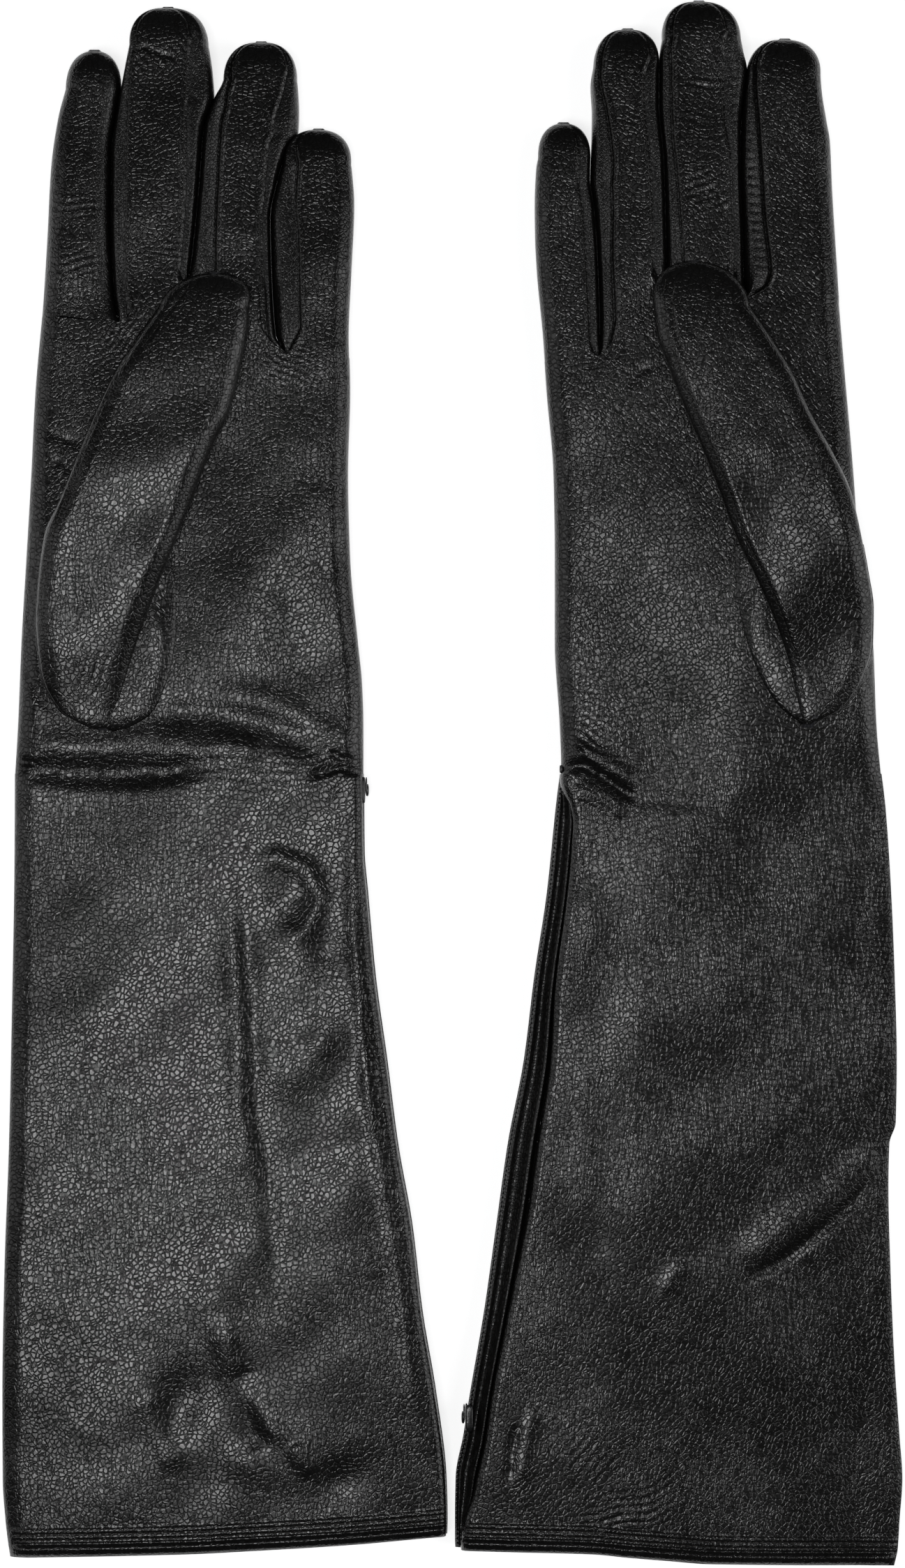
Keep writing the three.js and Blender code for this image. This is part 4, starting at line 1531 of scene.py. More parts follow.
# =============================================================== palm
@dataclass
class Palm:
    """The hand's leather from the wrist to the finger roots, with its lining and fork webs."""

    glove: GlovePattern
    relief: Relief
    rows: int = 190
    web_half_width: float = 1.9
    web_half_height: float = 3.4

    def root_line(self) -> np.ndarray:
        """Corners of the line where the fingers begin, (u, v), from the inner side out.

        Returns:
            The corners, one to a line.
        """
        fingers = [self.glove.fingers[n] for n in ("little", "ring", "middle", "index")]
        first, last = fingers[0], fingers[-1]
        points = [(rail_at(self.glove.palm_inner, first.root[0]), first.root[0])]
        points += [(rail_at(f.outer.edge, f.root[1]), f.root[1]) for f in fingers[:-1]]
        points.append((rail_at(last.outer.edge, last.root[1]), last.root[1]))
        return np.array(points)

    def tube(self, rows: int, **settings) -> Tube:
        """The palm as a tube whose last row follows the finger roots.

        Args:
            rows: rows from the wrist to the fingers.
            **settings: further fields of the tube.

        Returns:
            The tube.
        """
        line = self.root_line()
        share = np.linspace(0, 1, rows)
        rims = []
        for edge, end in ((self.glove.palm_inner, line[0]), (self.glove.palm_outer, line[-1])):
            v = HAND_START_V + (end[1] - HAND_START_V) * share
            u = rail(edge, v)
            u += (end[0] - u[-1]) * smooth((share - 0.7) / 0.3)
            one = np.ones_like(v)
            rims.append(Rim(u, v, one * SIDE_ROLL, one, one * 0))
        inner, outer = rims
        start, end = inner.u[-1] + SIDE_ROLL, outer.u[-1] - SIDE_ROLL

        def bow(f: np.ndarray) -> np.ndarray:
            """How far the root line runs above the straight line between its ends."""
            straight = inner.v[-1] + (outer.v[-1] - inner.v[-1]) * f
            return np.interp(start + (end - start) * f, line[:, 0], line[:, 1]) - straight

        return Tube(inner, outer, self.relief, np.ones(rows), bow, share**1.6, **settings)

    def make(self) -> list[bpy.types.Object]:
        """Makes leather, lining and webs and returns them.

        Returns:
            The new pieces.
        """
        word = self.glove.hand.word
        leather = self.tube(
            self.rows, top_columns=150, base_columns=30,
        ).piece(f"{word}_hand_leather", self.glove.hand)
        WARDROBE.dress(leather, Slot.OUTER)
        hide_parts(f"{word}_trank")
        silk = self.tube(40, inset=1.5, top_columns=26, side_columns=4, base_columns=12).piece(
            f"{word}_hand_silk", self.glove.hand
        )
        line_silk(silk)
        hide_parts(f"{word}_hand_lining")
        hinge = Hinge(f"{word}_wrist_fold", 3.6, 4.6)
        for piece in (leather, silk):
            hinge.bend(piece)
            report(piece)
        forks = (("ring", "little"), ("middle", "ring"), ("index", "middle"))
        return [leather, silk, *[self.web(outer, inner) for outer, inner in forks]]

    def web(self, outer: str, inner: str) -> bpy.types.Object:
        """The fork's closed end: a small saddle that joins two side strips at the crotch.

        Across it runs a shallow bow towards the fingertips, and up it a half round.

        Args:
            outer: finger on the thumb side of the fork.
            inner: finger on its other side.

        Returns:
            The new piece.
        """
        word = self.glove.hand.word
        side = self.glove.fingers[inner].outer
        v0 = self.glove.fingers[inner].root[1]
        u0 = rail_at(side.edge, v0)
        across, up = np.meshgrid(np.linspace(-1, 1, 13), np.linspace(-1, 1, 15))
        u = u0 + self.web_half_width * across
        z = MID_Z + self.web_half_height * up
        v = v0 + 2.4 + 1.3 * across**2 - 1.1 * (1 - up**2)
        faces = grid_faces(*u.shape)[:, ::-1]
        piece = make_piece(f"{word}_fork_{outer}_{inner}_web", self.glove.hand, as_cloud((u, v, z)), faces)
        thicken(piece, "leather", 0.8)
        WARDROBE.dress(piece, Slot.FORK)
        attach(piece, f"{word}_hand")
        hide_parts(f"{word}_fork_{outer}_{inner}")
        report(piece)
        return piece


# =============================================================== thumb
@dataclass(frozen=True)
class Crest(Relief):
    """Relief of a part whose flat height changes along the glove."""

    along: Line = ((0, TOP_Z), (200, TOP_Z))

    def height(self, u: np.ndarray, v: np.ndarray) -> np.ndarray:
        """Height of the crest at v plus every mark.

        Args:
            u: places across the glove.
            v: places along the glove.

        Returns:
            Height over the table at each place.
        """
        total = rail(self.along, v)
        for mark in self.marks:
            total = total + mark.lift(u, v)
        return total


@dataclass
class Thumb:
    """The thumb folded over the palm, and the low oval of leather it is set in."""

    glove: GlovePattern
    rows: int = 190

    def rims(self, rows: int) -> tuple[Rim, Rim, np.ndarray]:
        """Both sides of the thumb, rounded at the tip and drawn to nothing at the fold's end.

        Args:
            rows: rows from the fold to the tip.

        Returns:
            Inner rim, outer rim and fullness.
        """
        p = self.glove.thumb
        start, round_from = p.inner[0][0], p.inner[-1][0] - 1.5
        v = np.linspace(start, round_from, rows)
        inner_u, outer_u = rail(p.inner, v), rail(p.outer, v)
        t = np.sin(np.linspace(0, math.pi / 2, 31)[1:] * 0.985)
        width = round_off(t, 2.2)
        centre = (inner_u[-1] + outer_u[-1]) / 2 * (1 - t) + p.tip[0] * t
        half = (outer_u[-1] - inner_u[-1]) / 2
        inner_u = np.append(inner_u, centre - half * width)
        outer_u = np.append(outer_u, centre + half * width)
        v = np.append(v, round_from + (p.tip[1] - round_from) * t)
        opened = np.clip((v - start) / 4.0, 0, 1)
        plump = np.append(np.ones(rows), width**0.75) * np.sqrt(1 - (1 - opened) ** 2)
        room = 0.42 * (outer_u - inner_u)
        one = np.ones_like(v)
        inner = Rim(inner_u, v, np.minimum(5.5, room), one, one * 0)
        outer = Rim(outer_u, v, np.minimum(5.5, room), one, one * 0)
        return inner, outer, plump

    def tube(self, rows: int, **settings) -> Tube:
        """The thumb as a tube that grows thicker from its fold to its tip.

        Args:
            rows: rows from the fold to the tip.
            **settings: further fields of the tube.

        Returns:
            The tube.
        """
        p = self.glove.thumb
        marks = (
            Unevenness(waves=((34, 0.2), (18, 0.05), (9, 0.012)), seed=SEED + 2 + self.glove.hand.value),
            Fold(p.seam_line, -0.5, 0.55),
            Fold([(u + 0.9, v + 0.3) for u, v in p.seam_line], 0.3, 0.7),
            Fold(p.seam_inside, -0.4, 0.45),
            Dome((95, 52), (9, 16), 0.45, -20),
            Dome((92, 76), (7, 12), -0.33, 20),
            Dome((80, 108), (8, 18), 0.26, 20),
            Pucker((98, 30), (8, 8), 2.6, 0.12, -60),
        )
        relief = Crest(
            marks,
            ((15, 13.7), (30, 15.6), (52, 18.4), (76, 20.6), (105, 21.3), (130, 20.8), (150, 20.2)),
        )
        inner, outer, plump = self.rims(rows)
        middle = rail(((15, 12.9), (40, 14.0), (76, 16.4), (150, 16.4)), inner.v)[:, None]
        return Tube(inner, outer, relief, plump, middle=middle, floor=UNDER_PALM_Z, **settings)

    def make(self) -> list[bpy.types.Object]:
        """Makes sheath, lining, stitching and base and returns them.

        Returns:
            The new pieces.
        """
        word = self.glove.hand.word
        tube = self.tube(self.rows, top_columns=84, base_columns=20)
        sheath = tube.piece(f"{word}_thumb_leather", self.glove.hand, caps="first last")
        WARDROBE.dress(sheath, Slot.OUTER)
        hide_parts(f"{word}_thumb_sheath")
        silk = self.tube(40, inset=1.4, top_columns=14, side_columns=4, base_columns=8)
        silk = silk.piece(f"{word}_thumb_silk", self.glove.hand, caps="last")
        line_silk(silk)
        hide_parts(f"{word}_thumb_lining")
        rows = []
        for line in (self.glove.thumb.seam_line, self.glove.thumb.seam_inside):
            flat = curve_points(line, 90)
            z = tube.relief.height(flat[:, 0], flat[:, 1]) + 0.18
            rows.append(stitch_row(np.column_stack([flat, z]), 1.6, 1.0, 0.14))
        thread = make_piece(f"{word}_thumb_stitching", self.glove.hand, *gathered(rows))
        WARDROBE.dress(thread, Slot.OUTER, THREAD)
        hinge = Hinge(f"{word}_thumb_lift", 18.0, 8.0)
        for piece in (sheath, silk, thread):
            hinge.bend(piece)
            report(piece)
        return [sheath, silk, thread, self.base()]

    def base(self) -> bpy.types.Object:
        """The oval the thumb is set in: a low dome with its edge sunk into the palm.

        Returns:
            The new piece.
        """
        p = self.glove.thumb
        v = np.linspace(p.oval_inner[0][0] + 0.1, p.oval_inner[-1][0], 90)
        t = np.clip((v - v[0]) / 5.0, 0, 1)
        shut = np.sqrt(1 - (1 - t) ** 2) * 0.9 + 0.1
        inner_u, outer_u = rail(p.oval_inner, v), rail(p.outer, v) + 0.7
        middle_u = (inner_u + outer_u) / 2
        half = (outer_u - inner_u) / 2 * shut
        one = np.ones_like(v)
        rims = [Rim(middle_u + way * half, v, np.minimum(7.0, 0.8 * half), one, one * 0) for way in (-1, 1)]
        marks = (
            Unevenness(waves=((18, 0.1), (8, 0.02)), seed=SEED + 7),
            Pucker((86, 28), (7, 7), 2.1, 0.15, 60),
            Dome((85, 44), (4, 9), 0.33, -10),
        )
        relief = Crest(marks, ((14, 12.0), (20, 12.7), (40, 13.0), (70, 12.8)))
        tube = Tube(*rims, relief, shut, middle=11.2, floor=10.3, top_columns=50, base_columns=8)
        piece = tube.piece(f"{self.glove.hand.word}_thumb_base_leather", self.glove.hand, caps="first last")
        WARDROBE.dress(piece, Slot.OUTER)
        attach(piece, f"{self.glove.hand.word}_hand")
        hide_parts(f"{self.glove.hand.word}_thumb_base")
        report(piece)
        return piece


# =============================================================== sleeve and zip
@dataclass
class Sleeve:
    """The long sleeve: leather, hem stitching, facing, lining, and the zip in its side."""

    glove: GlovePattern
    relief: Relief
    rows: int = 300
    hem_rows: int = 50
    hem_depth: float = 12.0
    stitch_at: tuple[float, float] = (4.9, 6.5)  # mm above the hem's edge
    stitch_pitch: float = 1.75
    front_roll: float = 2.3  # how far the slit's front lip rounds into the flat
    back_roll: float = 3.5
    front_drop: float = 2.4  # how far below the upper side the front lip's edge lies
    back_lip: float = 3.3  # height of the open back lip's edge
    slit_closes: float = 9.0  # the slit opens over this length below the wrist

    @property
    def word(self) -> str:
        """The hand's name."""
        return self.glove.hand.word

    def hem_v(self, u: np.ndarray) -> np.ndarray:
        """Where the hem's edge lies at u."""
        return rail(self.glove.hem, u)

    def hem_ends(self) -> tuple[float, float]:
        """Where the sleeve's two sides meet the hem, as u of the inner and of the outer side."""
        return rail_at(self.glove.sleeve_inner, HEM_V), rail_at(self.glove.sleeve_outer, HEM_V)

    def open_share(self, v: np.ndarray) -> np.ndarray:
        """How far the zip's slit is open: nothing at the wrist, all a little below it."""
        return smooth((HAND_START_V - v) / self.slit_closes)

    def down(self, u_end: np.ndarray, share: np.ndarray) -> np.ndarray:
        """Places down the sleeve: straight lines from the wrist to the hem below u_end."""
        return HAND_START_V + (self.hem_v(u_end) - HAND_START_V) * share[:, None]

    def hem_lift(self, above: np.ndarray) -> np.ndarray:
        """Profile of the hem band over the distance above its edge.

        The turned edge is a double layer with a bead, a valley, and two sunk stitch rows.

        Args:
            above: distance above the hem's edge.

        Returns:
            Height to add.
        """
        layer = 0.3 * smooth((8.6 - above) / 1.1)
        bead = 0.45 * np.exp(-(((above - 2.3) / 0.9) ** 2)) - 0.25 * np.exp(-(((above - 3.8) / 0.5) ** 2))
        rows = -0.16 * sum(np.exp(-(((above - at) / 0.36) ** 2)) for at in self.stitch_at)
        edge = -1.1 * np.clip(1 - above / 1.3, 0, 1) ** 2
        return layer + bead + rows + edge

    def upper(self, u: np.ndarray, v: np.ndarray) -> np.ndarray:
        """Height of the sleeve's upper side with its hem band."""
        return self.relief.height(u, v) + self.hem_lift(v - self.hem_v(u))

    def shares(self) -> np.ndarray:
        """Rows from wrist to hem, closer together over the hem band."""
        knee = 1 - self.hem_depth / SLEEVE_LENGTH
        return np.append(np.linspace(0, knee, self.rows)[:-1], np.linspace(knee, 1, self.hem_rows))

    def make(self) -> list[bpy.types.Object]:
        """Makes every piece of the sleeve and returns them.

        Returns:
            The new pieces.
        """
        made = [self.leather(), self.hem_stitches(), self.facing(), self.silk()]
        made += Zip(self).make()
        for piece in made:
            report(piece)
        return made

    def leather(self) -> bpy.types.Object:
        """The outer leather, round from the slit's front lip to its back lip.

        Each row runs from the front lip over the upper side, round the thumb side, back
        along the table and up to the back lip; both lips are quarter ellipses.

        Returns:
            The new piece.
        """
        g, share = self.glove, self.shares()
        hem_in, hem_out = self.hem_ends()
        turn = np.linspace(0, math.pi / 2, 9)
        roll = 1 - np.cos(turn)

        def flat(count: int, front: bool) -> Grid:
            """Upper side or underside between the rolls.

            Args:
                count: columns across.
                front: whether it is the upper side.

            Returns:
                u, v and z of the columns.
            """
            f = np.linspace(0, 1, count)
            v = self.down(hem_in + (hem_out - hem_in) * f, share)
            step = rail(g.front_step, v) * self.open_share(v) if front else 0.0
            first = rail(g.sleeve_inner, v) + step + (self.front_roll if front else self.back_roll)
            u = first + (rail(g.sleeve_outer, v) - SIDE_ROLL - first) * f
            return u, v, self.upper(u, v) if front else self.underside(u, v)

        def outside(front: bool) -> Grid:
            """The thumb side's roll, from its edge in.

            Args:
                front: whether it is the upper half.

            Returns:
                u, v and z of the columns.
            """
            v = np.repeat(self.down(np.array([hem_out]), share), len(turn), axis=1)
            u = rail(g.sleeve_outer, v) - SIDE_ROLL * roll
            full = self.upper(u, v) if front else self.underside(u, v)
            lip = MID_Z + (EDGE_LIP if front else -EDGE_LIP)
            return u, v, lip + (full - lip) * np.sin(turn)

        def slit_lip(front: bool) -> Grid:
            """A lip of the slit: tucked in behind, then rolled over to the flat.

            Args:
                front: whether it is the palm side.

            Returns:
                u, v and z of the columns.
            """
            inside = np.array([-0.9, -0.5])
            v = np.repeat(self.down(np.array([hem_in]), share), len(turn) + 2, axis=1)
            gap = self.open_share(v)
            step = rail(g.front_step, v) * gap if front else 0.0 * gap
            reach = self.front_roll if front else self.back_roll
            tuck = np.concatenate([-inside * 1.6 / 0.9, roll * reach])
            rise = np.concatenate([inside * 0.5, np.sin(turn)])
            u = rail(g.sleeve_inner, v) + step + tuck
            full = self.upper(u, v) if front else self.underside(u, v)
            open_lip = full - self.front_drop if front else np.full_like(full, self.back_lip)
            shut_lip = MID_Z + (EDGE_LIP if front else -EDGE_LIP)
            lip = shut_lip + (open_lip - shut_lip) * gap
            return u, v, lip + (full - lip) * rise

        parts = [
            slit_lip(True),
            [a[:, 1:-1] for a in flat(170, True)],
            [a[:, ::-1] for a in outside(True)],
            outside(False),
            [a[:, -2:0:-1] for a in flat(34, False)],
            [a[:, ::-1] for a in slit_lip(False)],
        ]
        grid = [np.concatenate([p[k] for p in parts], axis=1) for k in range(3)]
        rows, cols = grid[0].shape
        cloud = as_cloud(grid)
        piece = make_piece(f"{self.word}_gauntlet_leather", g.hand, cloud, grid_faces(rows, cols)[:, ::-1])
        WARDROBE.dress(piece, Slot.OUTER)
        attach(piece, f"{self.word}_gauntlet")
        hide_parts(f"{self.word}_gauntlet")
        return piece

    def underside(self, u: np.ndarray, v: np.ndarray) -> np.ndarray:
        """Height of the side that lies on the table, with slight hollows and the hem's edge.

        Args:
            u: places across the glove.
            v: places along the glove.

        Returns:
            Height over the table at each place.
        """
        hollow = np.sin(u / 11.0 + 0.6 * np.sin(v / 19.0)) * np.sin(v / 15.0)
        above = v - self.hem_v(u)
        return FLOOR_Z + 0.2 * (1 + hollow) + 1.1 * np.clip(1 - above / 1.3, 0, 1) ** 2

    def ring(self, inset: float, low: float, high: float, rows: int) -> Tube:
        """A closed tube inside the leather, between two heights above the hem.

        Args:
            inset: how far inside the leather it lies.
            low: its lower end above the hem's edge.
            high: v of its upper end.
            rows: rows between them.

        Returns:
            The tube.
        """
        g = self.glove
        hem_in, hem_out = self.hem_ends()
        share = np.linspace(0, 1, rows)
        rims = []
        for edge, u_end in ((g.sleeve_inner, hem_in), (g.sleeve_outer, hem_out)):
            start = rail_at(g.hem, u_end) + low
            v = start + (high - start) * share
            u = rail(edge, v)
            if edge is g.sleeve_inner:
                u = u + (rail(g.front_step, v) + 1.6) * self.open_share(v)
            one = np.ones_like(v)
            rims.append(Rim(u, v, one * 4.5, one, one * 0))

        def bow(f: np.ndarray) -> np.ndarray:
            """How far the hem's line runs from the straight line between its ends."""
            straight = rims[0].v[0] + (rims[1].v[0] - rims[0].v[0]) * f
            return self.hem_v(hem_in + (hem_out - hem_in) * f) + low - straight

        return Tube(
            *rims,
            self.relief,
            np.ones(rows),
            bow,
            1 - share,
            top_columns=44,
            side_columns=6,
            base_columns=20,
            inset=inset,
        )

    def facing(self) -> bpy.types.Object:
        """The pared strip that finishes the hem on the inside.

        Returns:
            The new piece.
        """
        under_middle = rail_at(self.glove.hem, 60.0)
        tube = self.ring(1.0, 0.35, under_middle + self.hem_depth, 12)
        piece = tube.piece(f"{self.word}_hem_facing_leather", self.glove.hand)
        thicken(piece, "leather", 0.7)
        WARDROBE.dress(piece, Slot.FACING)
        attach(piece, f"{self.word}_gauntlet")
        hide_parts(f"{self.word}_hem_facing")
        return piece

    def silk(self) -> bpy.types.Object:
        """The sleeve's lining, from inside the facing to the wrist.

        Returns:
            The new piece.
        """
        piece = self.ring(1.9, 9.0, HAND_START_V - 1.0, 60).piece(
            f"{self.word}_gauntlet_silk", self.glove.hand,
        )
        line_silk(piece)
        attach(piece, f"{self.word}_gauntlet")
        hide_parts(f"{self.word}_gauntlet_lining")
        return piece

    def hem_stitches(self) -> bpy.types.Object:
        """Two rows of topstitching along the hem.

        Returns:
            The new piece.
        """
        rows = []
        for above in self.stitch_at:
            first = rail_at(self.glove.sleeve_inner, -215.0) + 3.0
            u = np.linspace(first, 124.5, 300)
            v = self.hem_v(u) + above
            rows.append(
                stitch_row(
                    np.stack([u, v, self.upper(u, v) + 0.16], axis=1), self.stitch_pitch, 1.2, 0.24,
                )
            )
        piece = make_piece(f"{self.word}_hem_stitching", self.glove.hand, *gathered(rows))
        WARDROBE.dress(piece, Slot.OUTER, THREAD)
        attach(piece, f"{self.word}_gauntlet")
        return piece


@dataclass
class Zip:
    """The concealed zip in the little finger's side of a sleeve."""

    sleeve: Sleeve
    tooth_pitch: float = 1.3
    tooth_height: float = 2.0
    tape_wall: float = 0.6

    def make(self) -> list[bpy.types.Object]:
        """Makes tapes, coil, stop, slider and the tape's stitching."""
        return [self.tape(True), self.tape(False), self.coil(), self.stop(), self.slider(), self.stitching()]

    def places(self, count: int) -> np.ndarray:
        """Places down the zip, from under the stop to the hem."""
        end = rail_at(self.sleeve.glove.hem, 2.0)
        return np.linspace(HAND_START_V - 2.0, end + 1.0, count)

    def coil_u(self, v: np.ndarray) -> np.ndarray:
        """How far out the coil lies."""
        return rail(self.sleeve.glove.sleeve_inner, v) + 0.55

    def band(self, v: np.ndarray, across: np.ndarray, front: bool) -> Grid:
        """Surface of a tape: from the coil (across 0) to behind the leather's lip (across 1).

        The front tape carries a middle ridge where it is folded, and rises to the front lip.

        Args:
            v: places down the zip.
            across: places across the tape.
            front: whether it is the palm side.

        Returns:
            u, v and z.
        """
        g = self.sleeve.glove
        step = rail(g.front_step, v) * self.sleeve.open_share(v) if front else 0.0 * v
        near = self.coil_u(v) + 0.3
        far = rail(g.sleeve_inner, v) + step + 1.9
        u = near + (far - near) * across
        if not front:
            return u, v + 0 * u, 5.3 - 1.6 * across + 0.0 * u
        top = self.sleeve.relief.height(far, v) - self.sleeve.front_drop - 0.5
        ridge = np.exp(-(((across - 0.62) / 0.1) ** 2)) + 0.5 * np.exp(-(((across - 0.06) / 0.07) ** 2))
        ridge = ridge * np.clip(step / 5.0, 0, 1.3)
        sunk = -0.9 * np.exp(-(((across - 0.3) / 0.16) ** 2)) * np.clip(step / 5.0, 0, 1.3)
        return u, v + 0 * u, 6.6 + (top - 6.6) * across**1.5 + 1.9 * ridge + sunk

    def tape(self, front: bool) -> bpy.types.Object:
        """One woven tape as a strip with two faces and closed edges.

        Args:
            front: whether it is the palm side.

        Returns:
            The new piece.
        """
        side = "palm" if front else "back"
        word = self.sleeve.word
        v = self.places(200)[:, None]
        across = np.linspace(0, 1, 25 if front else 5)[None, :]
        u, v2, z = self.band(v, across, front)
        low = z - self.tape_wall
        grid = [np.concatenate([a, b[:, ::-1], a[:, :1]], axis=1) for a, b in ((u, u), (v2, v2), (z, low))]
        rows, cols = grid[0].shape
        cloud = as_cloud(grid)
        piece = make_piece(
            f"{word}_zip_tape_{side}_side", self.sleeve.glove.hand, cloud,
            grid_faces(rows, cols)[:, ::-1],
        )
        WARDROBE.dress(piece, Slot.FORK if front else Slot.TAPE)
        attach(piece, f"{word}_gauntlet")
        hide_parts(f"{word}_zip_tape_{side}")
        return piece

    def coil(self) -> bpy.types.Object:
        """The coil's teeth, standing across the slit.

        Returns:
            The new piece.
        """
        word = self.sleeve.word
        v = self.places(300)[::-1]
        path = np.stack([self.coil_u(v), v, np.full_like(v, MID_Z)], axis=1)
        parts = [stitch_row(path, self.tooth_pitch, self.tooth_height, 0.34, across=True)]
        piece = make_piece(f"{word}_zip_coil", self.sleeve.glove.hand, *gathered(parts))
        WARDROBE.dress(piece, Slot.TAPE, EnamelFinish("moulded nylon coil", "171718", 0.35))
        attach(piece, f"{word}_gauntlet")
        return piece

    def stitching(self) -> bpy.types.Object:
        """The dashes of the row that holds the front tape.

        Returns:
            The new piece.
        """
        word = self.sleeve.word
        v = self.places(300)[:, None]
        u, v2, z = self.band(v, np.array([[0.53]]), True)
        open_enough = (v[:, 0] < -14) & (v[:, 0] > -150)
        path = np.stack([u[:, 0], v2[:, 0], z[:, 0] + 0.05], axis=1)[open_enough]
        piece = make_piece(
            f"{word}_zip_stitching", self.sleeve.glove.hand, *stitch_row(path[::-1], 1.9, 1.2, 0.17),
        )
        WARDROBE.dress(piece, Slot.TAPE, THREAD)
        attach(piece, f"{word}_gauntlet")
        return piece

    def from_frame(self, node: str) -> tuple[np.ndarray, np.ndarray]:
        """Middle and half size of a CAD node's box in the glove's drawing, in millimetres.

        Args:
            node: name of the node.

        Returns:
            Middle and half size.
        """
        low, high = (np.array(c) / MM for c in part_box(node))
        middle, half = (low + high) / 2, (high - low) / 2
        middle[0] *= self.sleeve.glove.hand.value
        return middle, half

    def stop(self) -> bpy.types.Object:
        """The small clip that ends the zip at the wrist.

        Returns:
            The new piece.
        """
        word = self.sleeve.word
        middle, half = self.from_frame(f"{word}_zip_stop")
        jaws = [pebble(middle + [0.2, 0, side * 0.9], half * [0.75, 0.95, 0.4]) for side in (1, -1)]
        parts = [*jaws, pebble(middle + [0.5, 0, 0], half * [0.5, 0.8, 0.9])]
        piece = make_piece(f"{word}_zip_stop_clip", self.sleeve.glove.hand, *gathered(parts))
        WARDROBE.dress(piece, Slot.METAL)
        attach(piece, f"{word}_gauntlet")
        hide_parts(f"{word}_zip_stop")
        return piece

    def slider(self) -> bpy.types.Object:
        """The slider: two cheeks over the coil, a bridge, and the stub of its pull.

        Returns:
            The new piece.
        """
        word = self.sleeve.word
        middle, half = self.from_frame(f"{word}_zip_slider")
        coil = np.array([float(self.coil_u(np.array(middle[1]))), middle[1], MID_Z])
        inward = 0.7 + 0.12 * rail_at(self.sleeve.glove.front_step, middle[1])
        upper_cheek = pebble(coil + [(inward - 0.9) / 2, 0, 1.95], [(inward + 0.9) / 2, half[1] - 0.2, 0.7])
        lower_cheek = pebble(coil + [-0.55, 0, -1.9], [0.35, half[1] - 0.4, 0.45])
        bridge = pebble(coil + [-1.22, 1.2, 0], [0.28, half[1] - 1.6, 2.0])
        pull = pebble(coil + [-1.5, 0, 0], [0.5, 1.8, 1.5], 2.6)
        parts = [upper_cheek, lower_cheek, bridge, pull]
        piece = make_piece(f"{word}_zip_slider_body", self.sleeve.glove.hand, *gathered(parts))
        WARDROBE.dress(piece, Slot.METAL)
        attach(piece, f"{word}_zip_slider")
        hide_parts(f"{word}_zip_slider")
        return piece


# =============================================================== glove, studio, main
@dataclass
class Glove:
    """One whole glove."""

    pattern: GlovePattern

    def make(self) -> list[bpy.types.Object]:
        """Makes sleeve, palm, thumb and fingers and returns their pieces.

        Returns:
            The new pieces.
        """
        relief = Relief(self.pattern.marks)
        made = Sleeve(self.pattern, relief).make()
        made += Palm(self.pattern, relief).make()
        made += Thumb(self.pattern).make()
        for name in self.pattern.fingers:
            made += Finger(name, self.pattern, relief).make()
        return made


@dataclass(frozen=True)
class Softbox:
    """A rectangular light aimed at the middle of the pair."""

    name: str
    place: tuple[float, float, float]
    size: tuple[float, float]
    power: float

    def switch_on(self) -> None:
        """Places the light, turned to face the pair."""
        lamp = bpy.data.lights.new(self.name, "AREA")
        lamp.shape = "RECTANGLE"
        lamp.size, lamp.size_y = self.size
        lamp.energy = self.power
        light = bpy.data.objects.new(self.name, lamp)
        light.location = self.place
        light.rotation_euler = (-Vector(self.place)).to_track_quat("-Z", "Y").to_euler()
        bpy.context.scene.collection.objects.link(light)


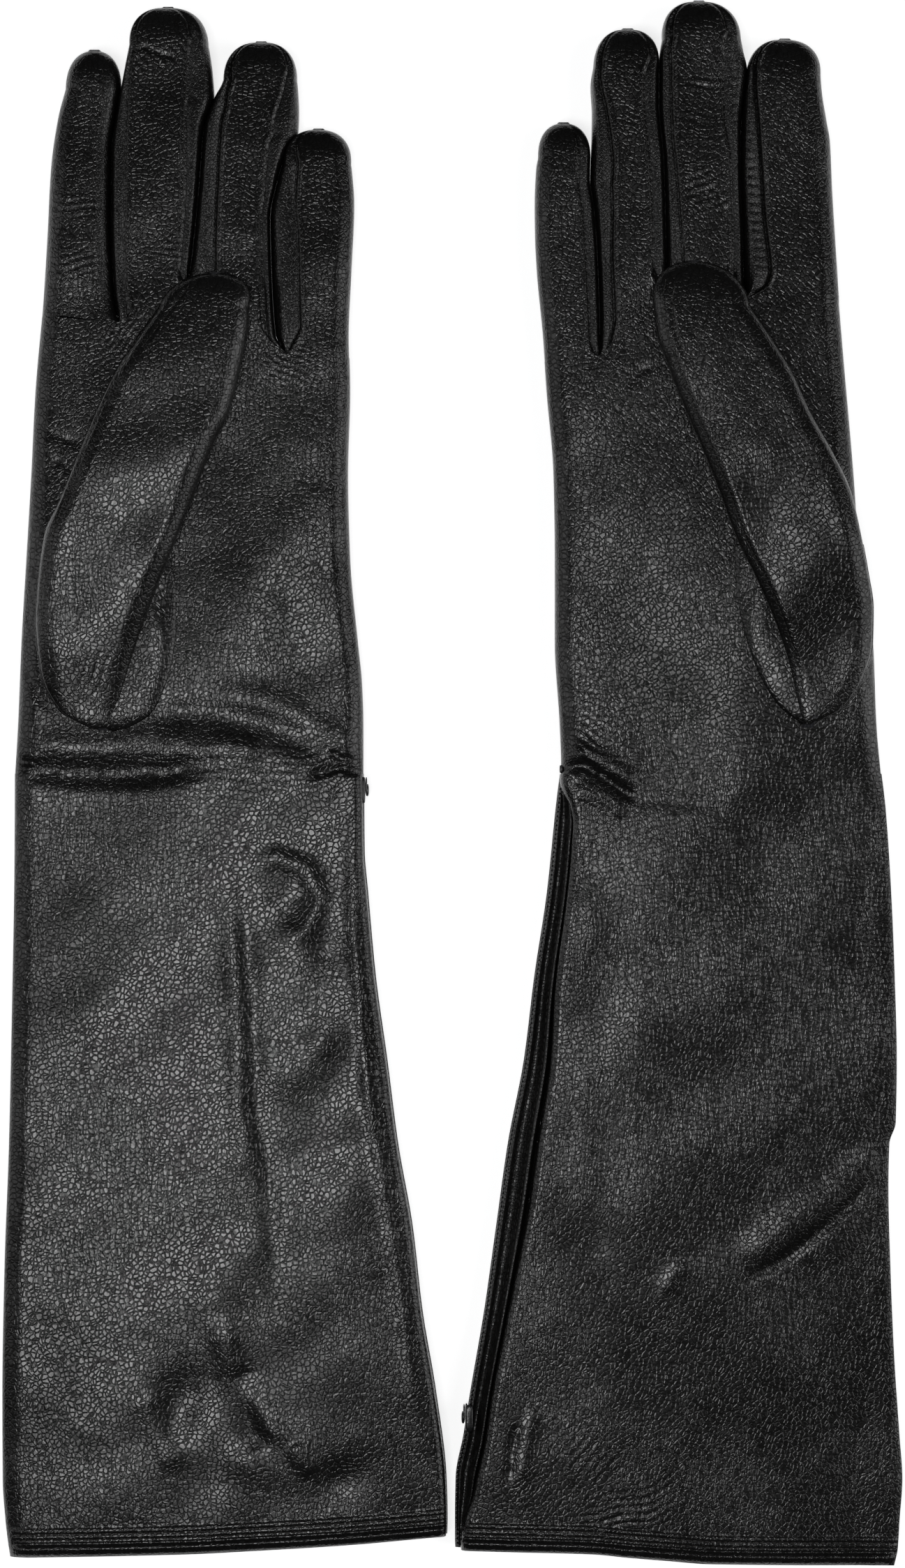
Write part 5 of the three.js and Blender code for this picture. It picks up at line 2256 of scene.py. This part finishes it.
@dataclass
class Studio:
    """An opal light table with softboxes round it, seen from straight above."""

    lens: float = 100.0  # mm
    sensor: float = 36.0
    frame_height: float = 449.6 * MM
    floor_size: float = 8.0  # metres
    floor_drop: float = 0.0004  # metres from the gloves' underside down to the table
    table_glow: float = 0.72
    sky: str = "343638"
    softboxes: Sequence[Softbox] = (
        Softbox("strip light overhead", (-0.16, -0.15, 1.5), (0.14, 0.7), 5.0),
        Softbox("side softbox left", (-1.3, 0.1, 0.8), (0.8, 1.6), 3.5),
        Softbox("side softbox right", (1.3, -0.1, 0.8), (0.8, 1.6), 8.0),
    )

    def set_camera(self) -> None:
        """Camera square over the pair, far enough to take in the frame's height."""
        data = bpy.data.cameras.new("camera over the table")
        data.lens = self.lens
        data.sensor_width = self.sensor
        data.sensor_fit = "AUTO"
        data.clip_end = 50
        camera = bpy.data.objects.new("camera over the table", data)
        camera.location = (0, 0, MID_Z * MM + self.frame_height * self.lens / self.sensor)
        bpy.context.scene.collection.objects.link(camera)
        bpy.context.scene.camera = camera

    def light(self) -> None:
        """Softboxes, a dim even sky, and a display that leaves black and white as they are."""
        for box in self.softboxes:
            box.switch_on()
        world = bpy.data.worlds.new("studio walls")
        world.use_nodes = True
        world.node_tree.nodes["Background"].inputs["Color"].default_value = linear(self.sky)
        bpy.context.scene.world = world
        bpy.context.scene.view_settings.view_transform = "Standard"

    def lay_floor(self) -> None:
        """The lit opal glass table top, just under the gloves."""
        half = self.floor_size / 2
        mesh = bpy.data.meshes.new("table_top")
        corners = [(x * half, y * half, -self.floor_drop) for x, y in ((-1, -1), (1, -1), (1, 1), (-1, 1))]
        mesh.from_pydata(corners, [], [(0, 1, 2, 3)])
        floor = bpy.data.objects.new("table_top", mesh)
        made, _, shader = new_material("opal glass light table")
        shader.inputs["Base Color"].default_value = linear("f6f6f6")
        shader.inputs["Roughness"].default_value = 0.9
        shader.inputs["Emission Color"].default_value = linear("ffffff")
        shader.inputs["Emission Strength"].default_value = self.table_glow
        mesh.materials.append(made)
        bpy.context.scene.collection.objects.link(floor)


def write_sizes() -> None:
    """Brings the placement of every object in the scene up to date."""
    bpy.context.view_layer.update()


def main() -> None:
    """Sets up the studio, makes both gloves and reports what was made."""
    logging.basicConfig(level=logging.INFO, format="%(message)s")
    studio = Studio()
    studio.set_camera()
    studio.light()
    studio.lay_floor()
    for pattern in (left_pattern(), right_pattern()):
        made = Glove(pattern).make()
        log.info("%s glove: %d pieces", pattern.hand.word, len(made))
    write_sizes()


if __name__ == "__main__":
    main()
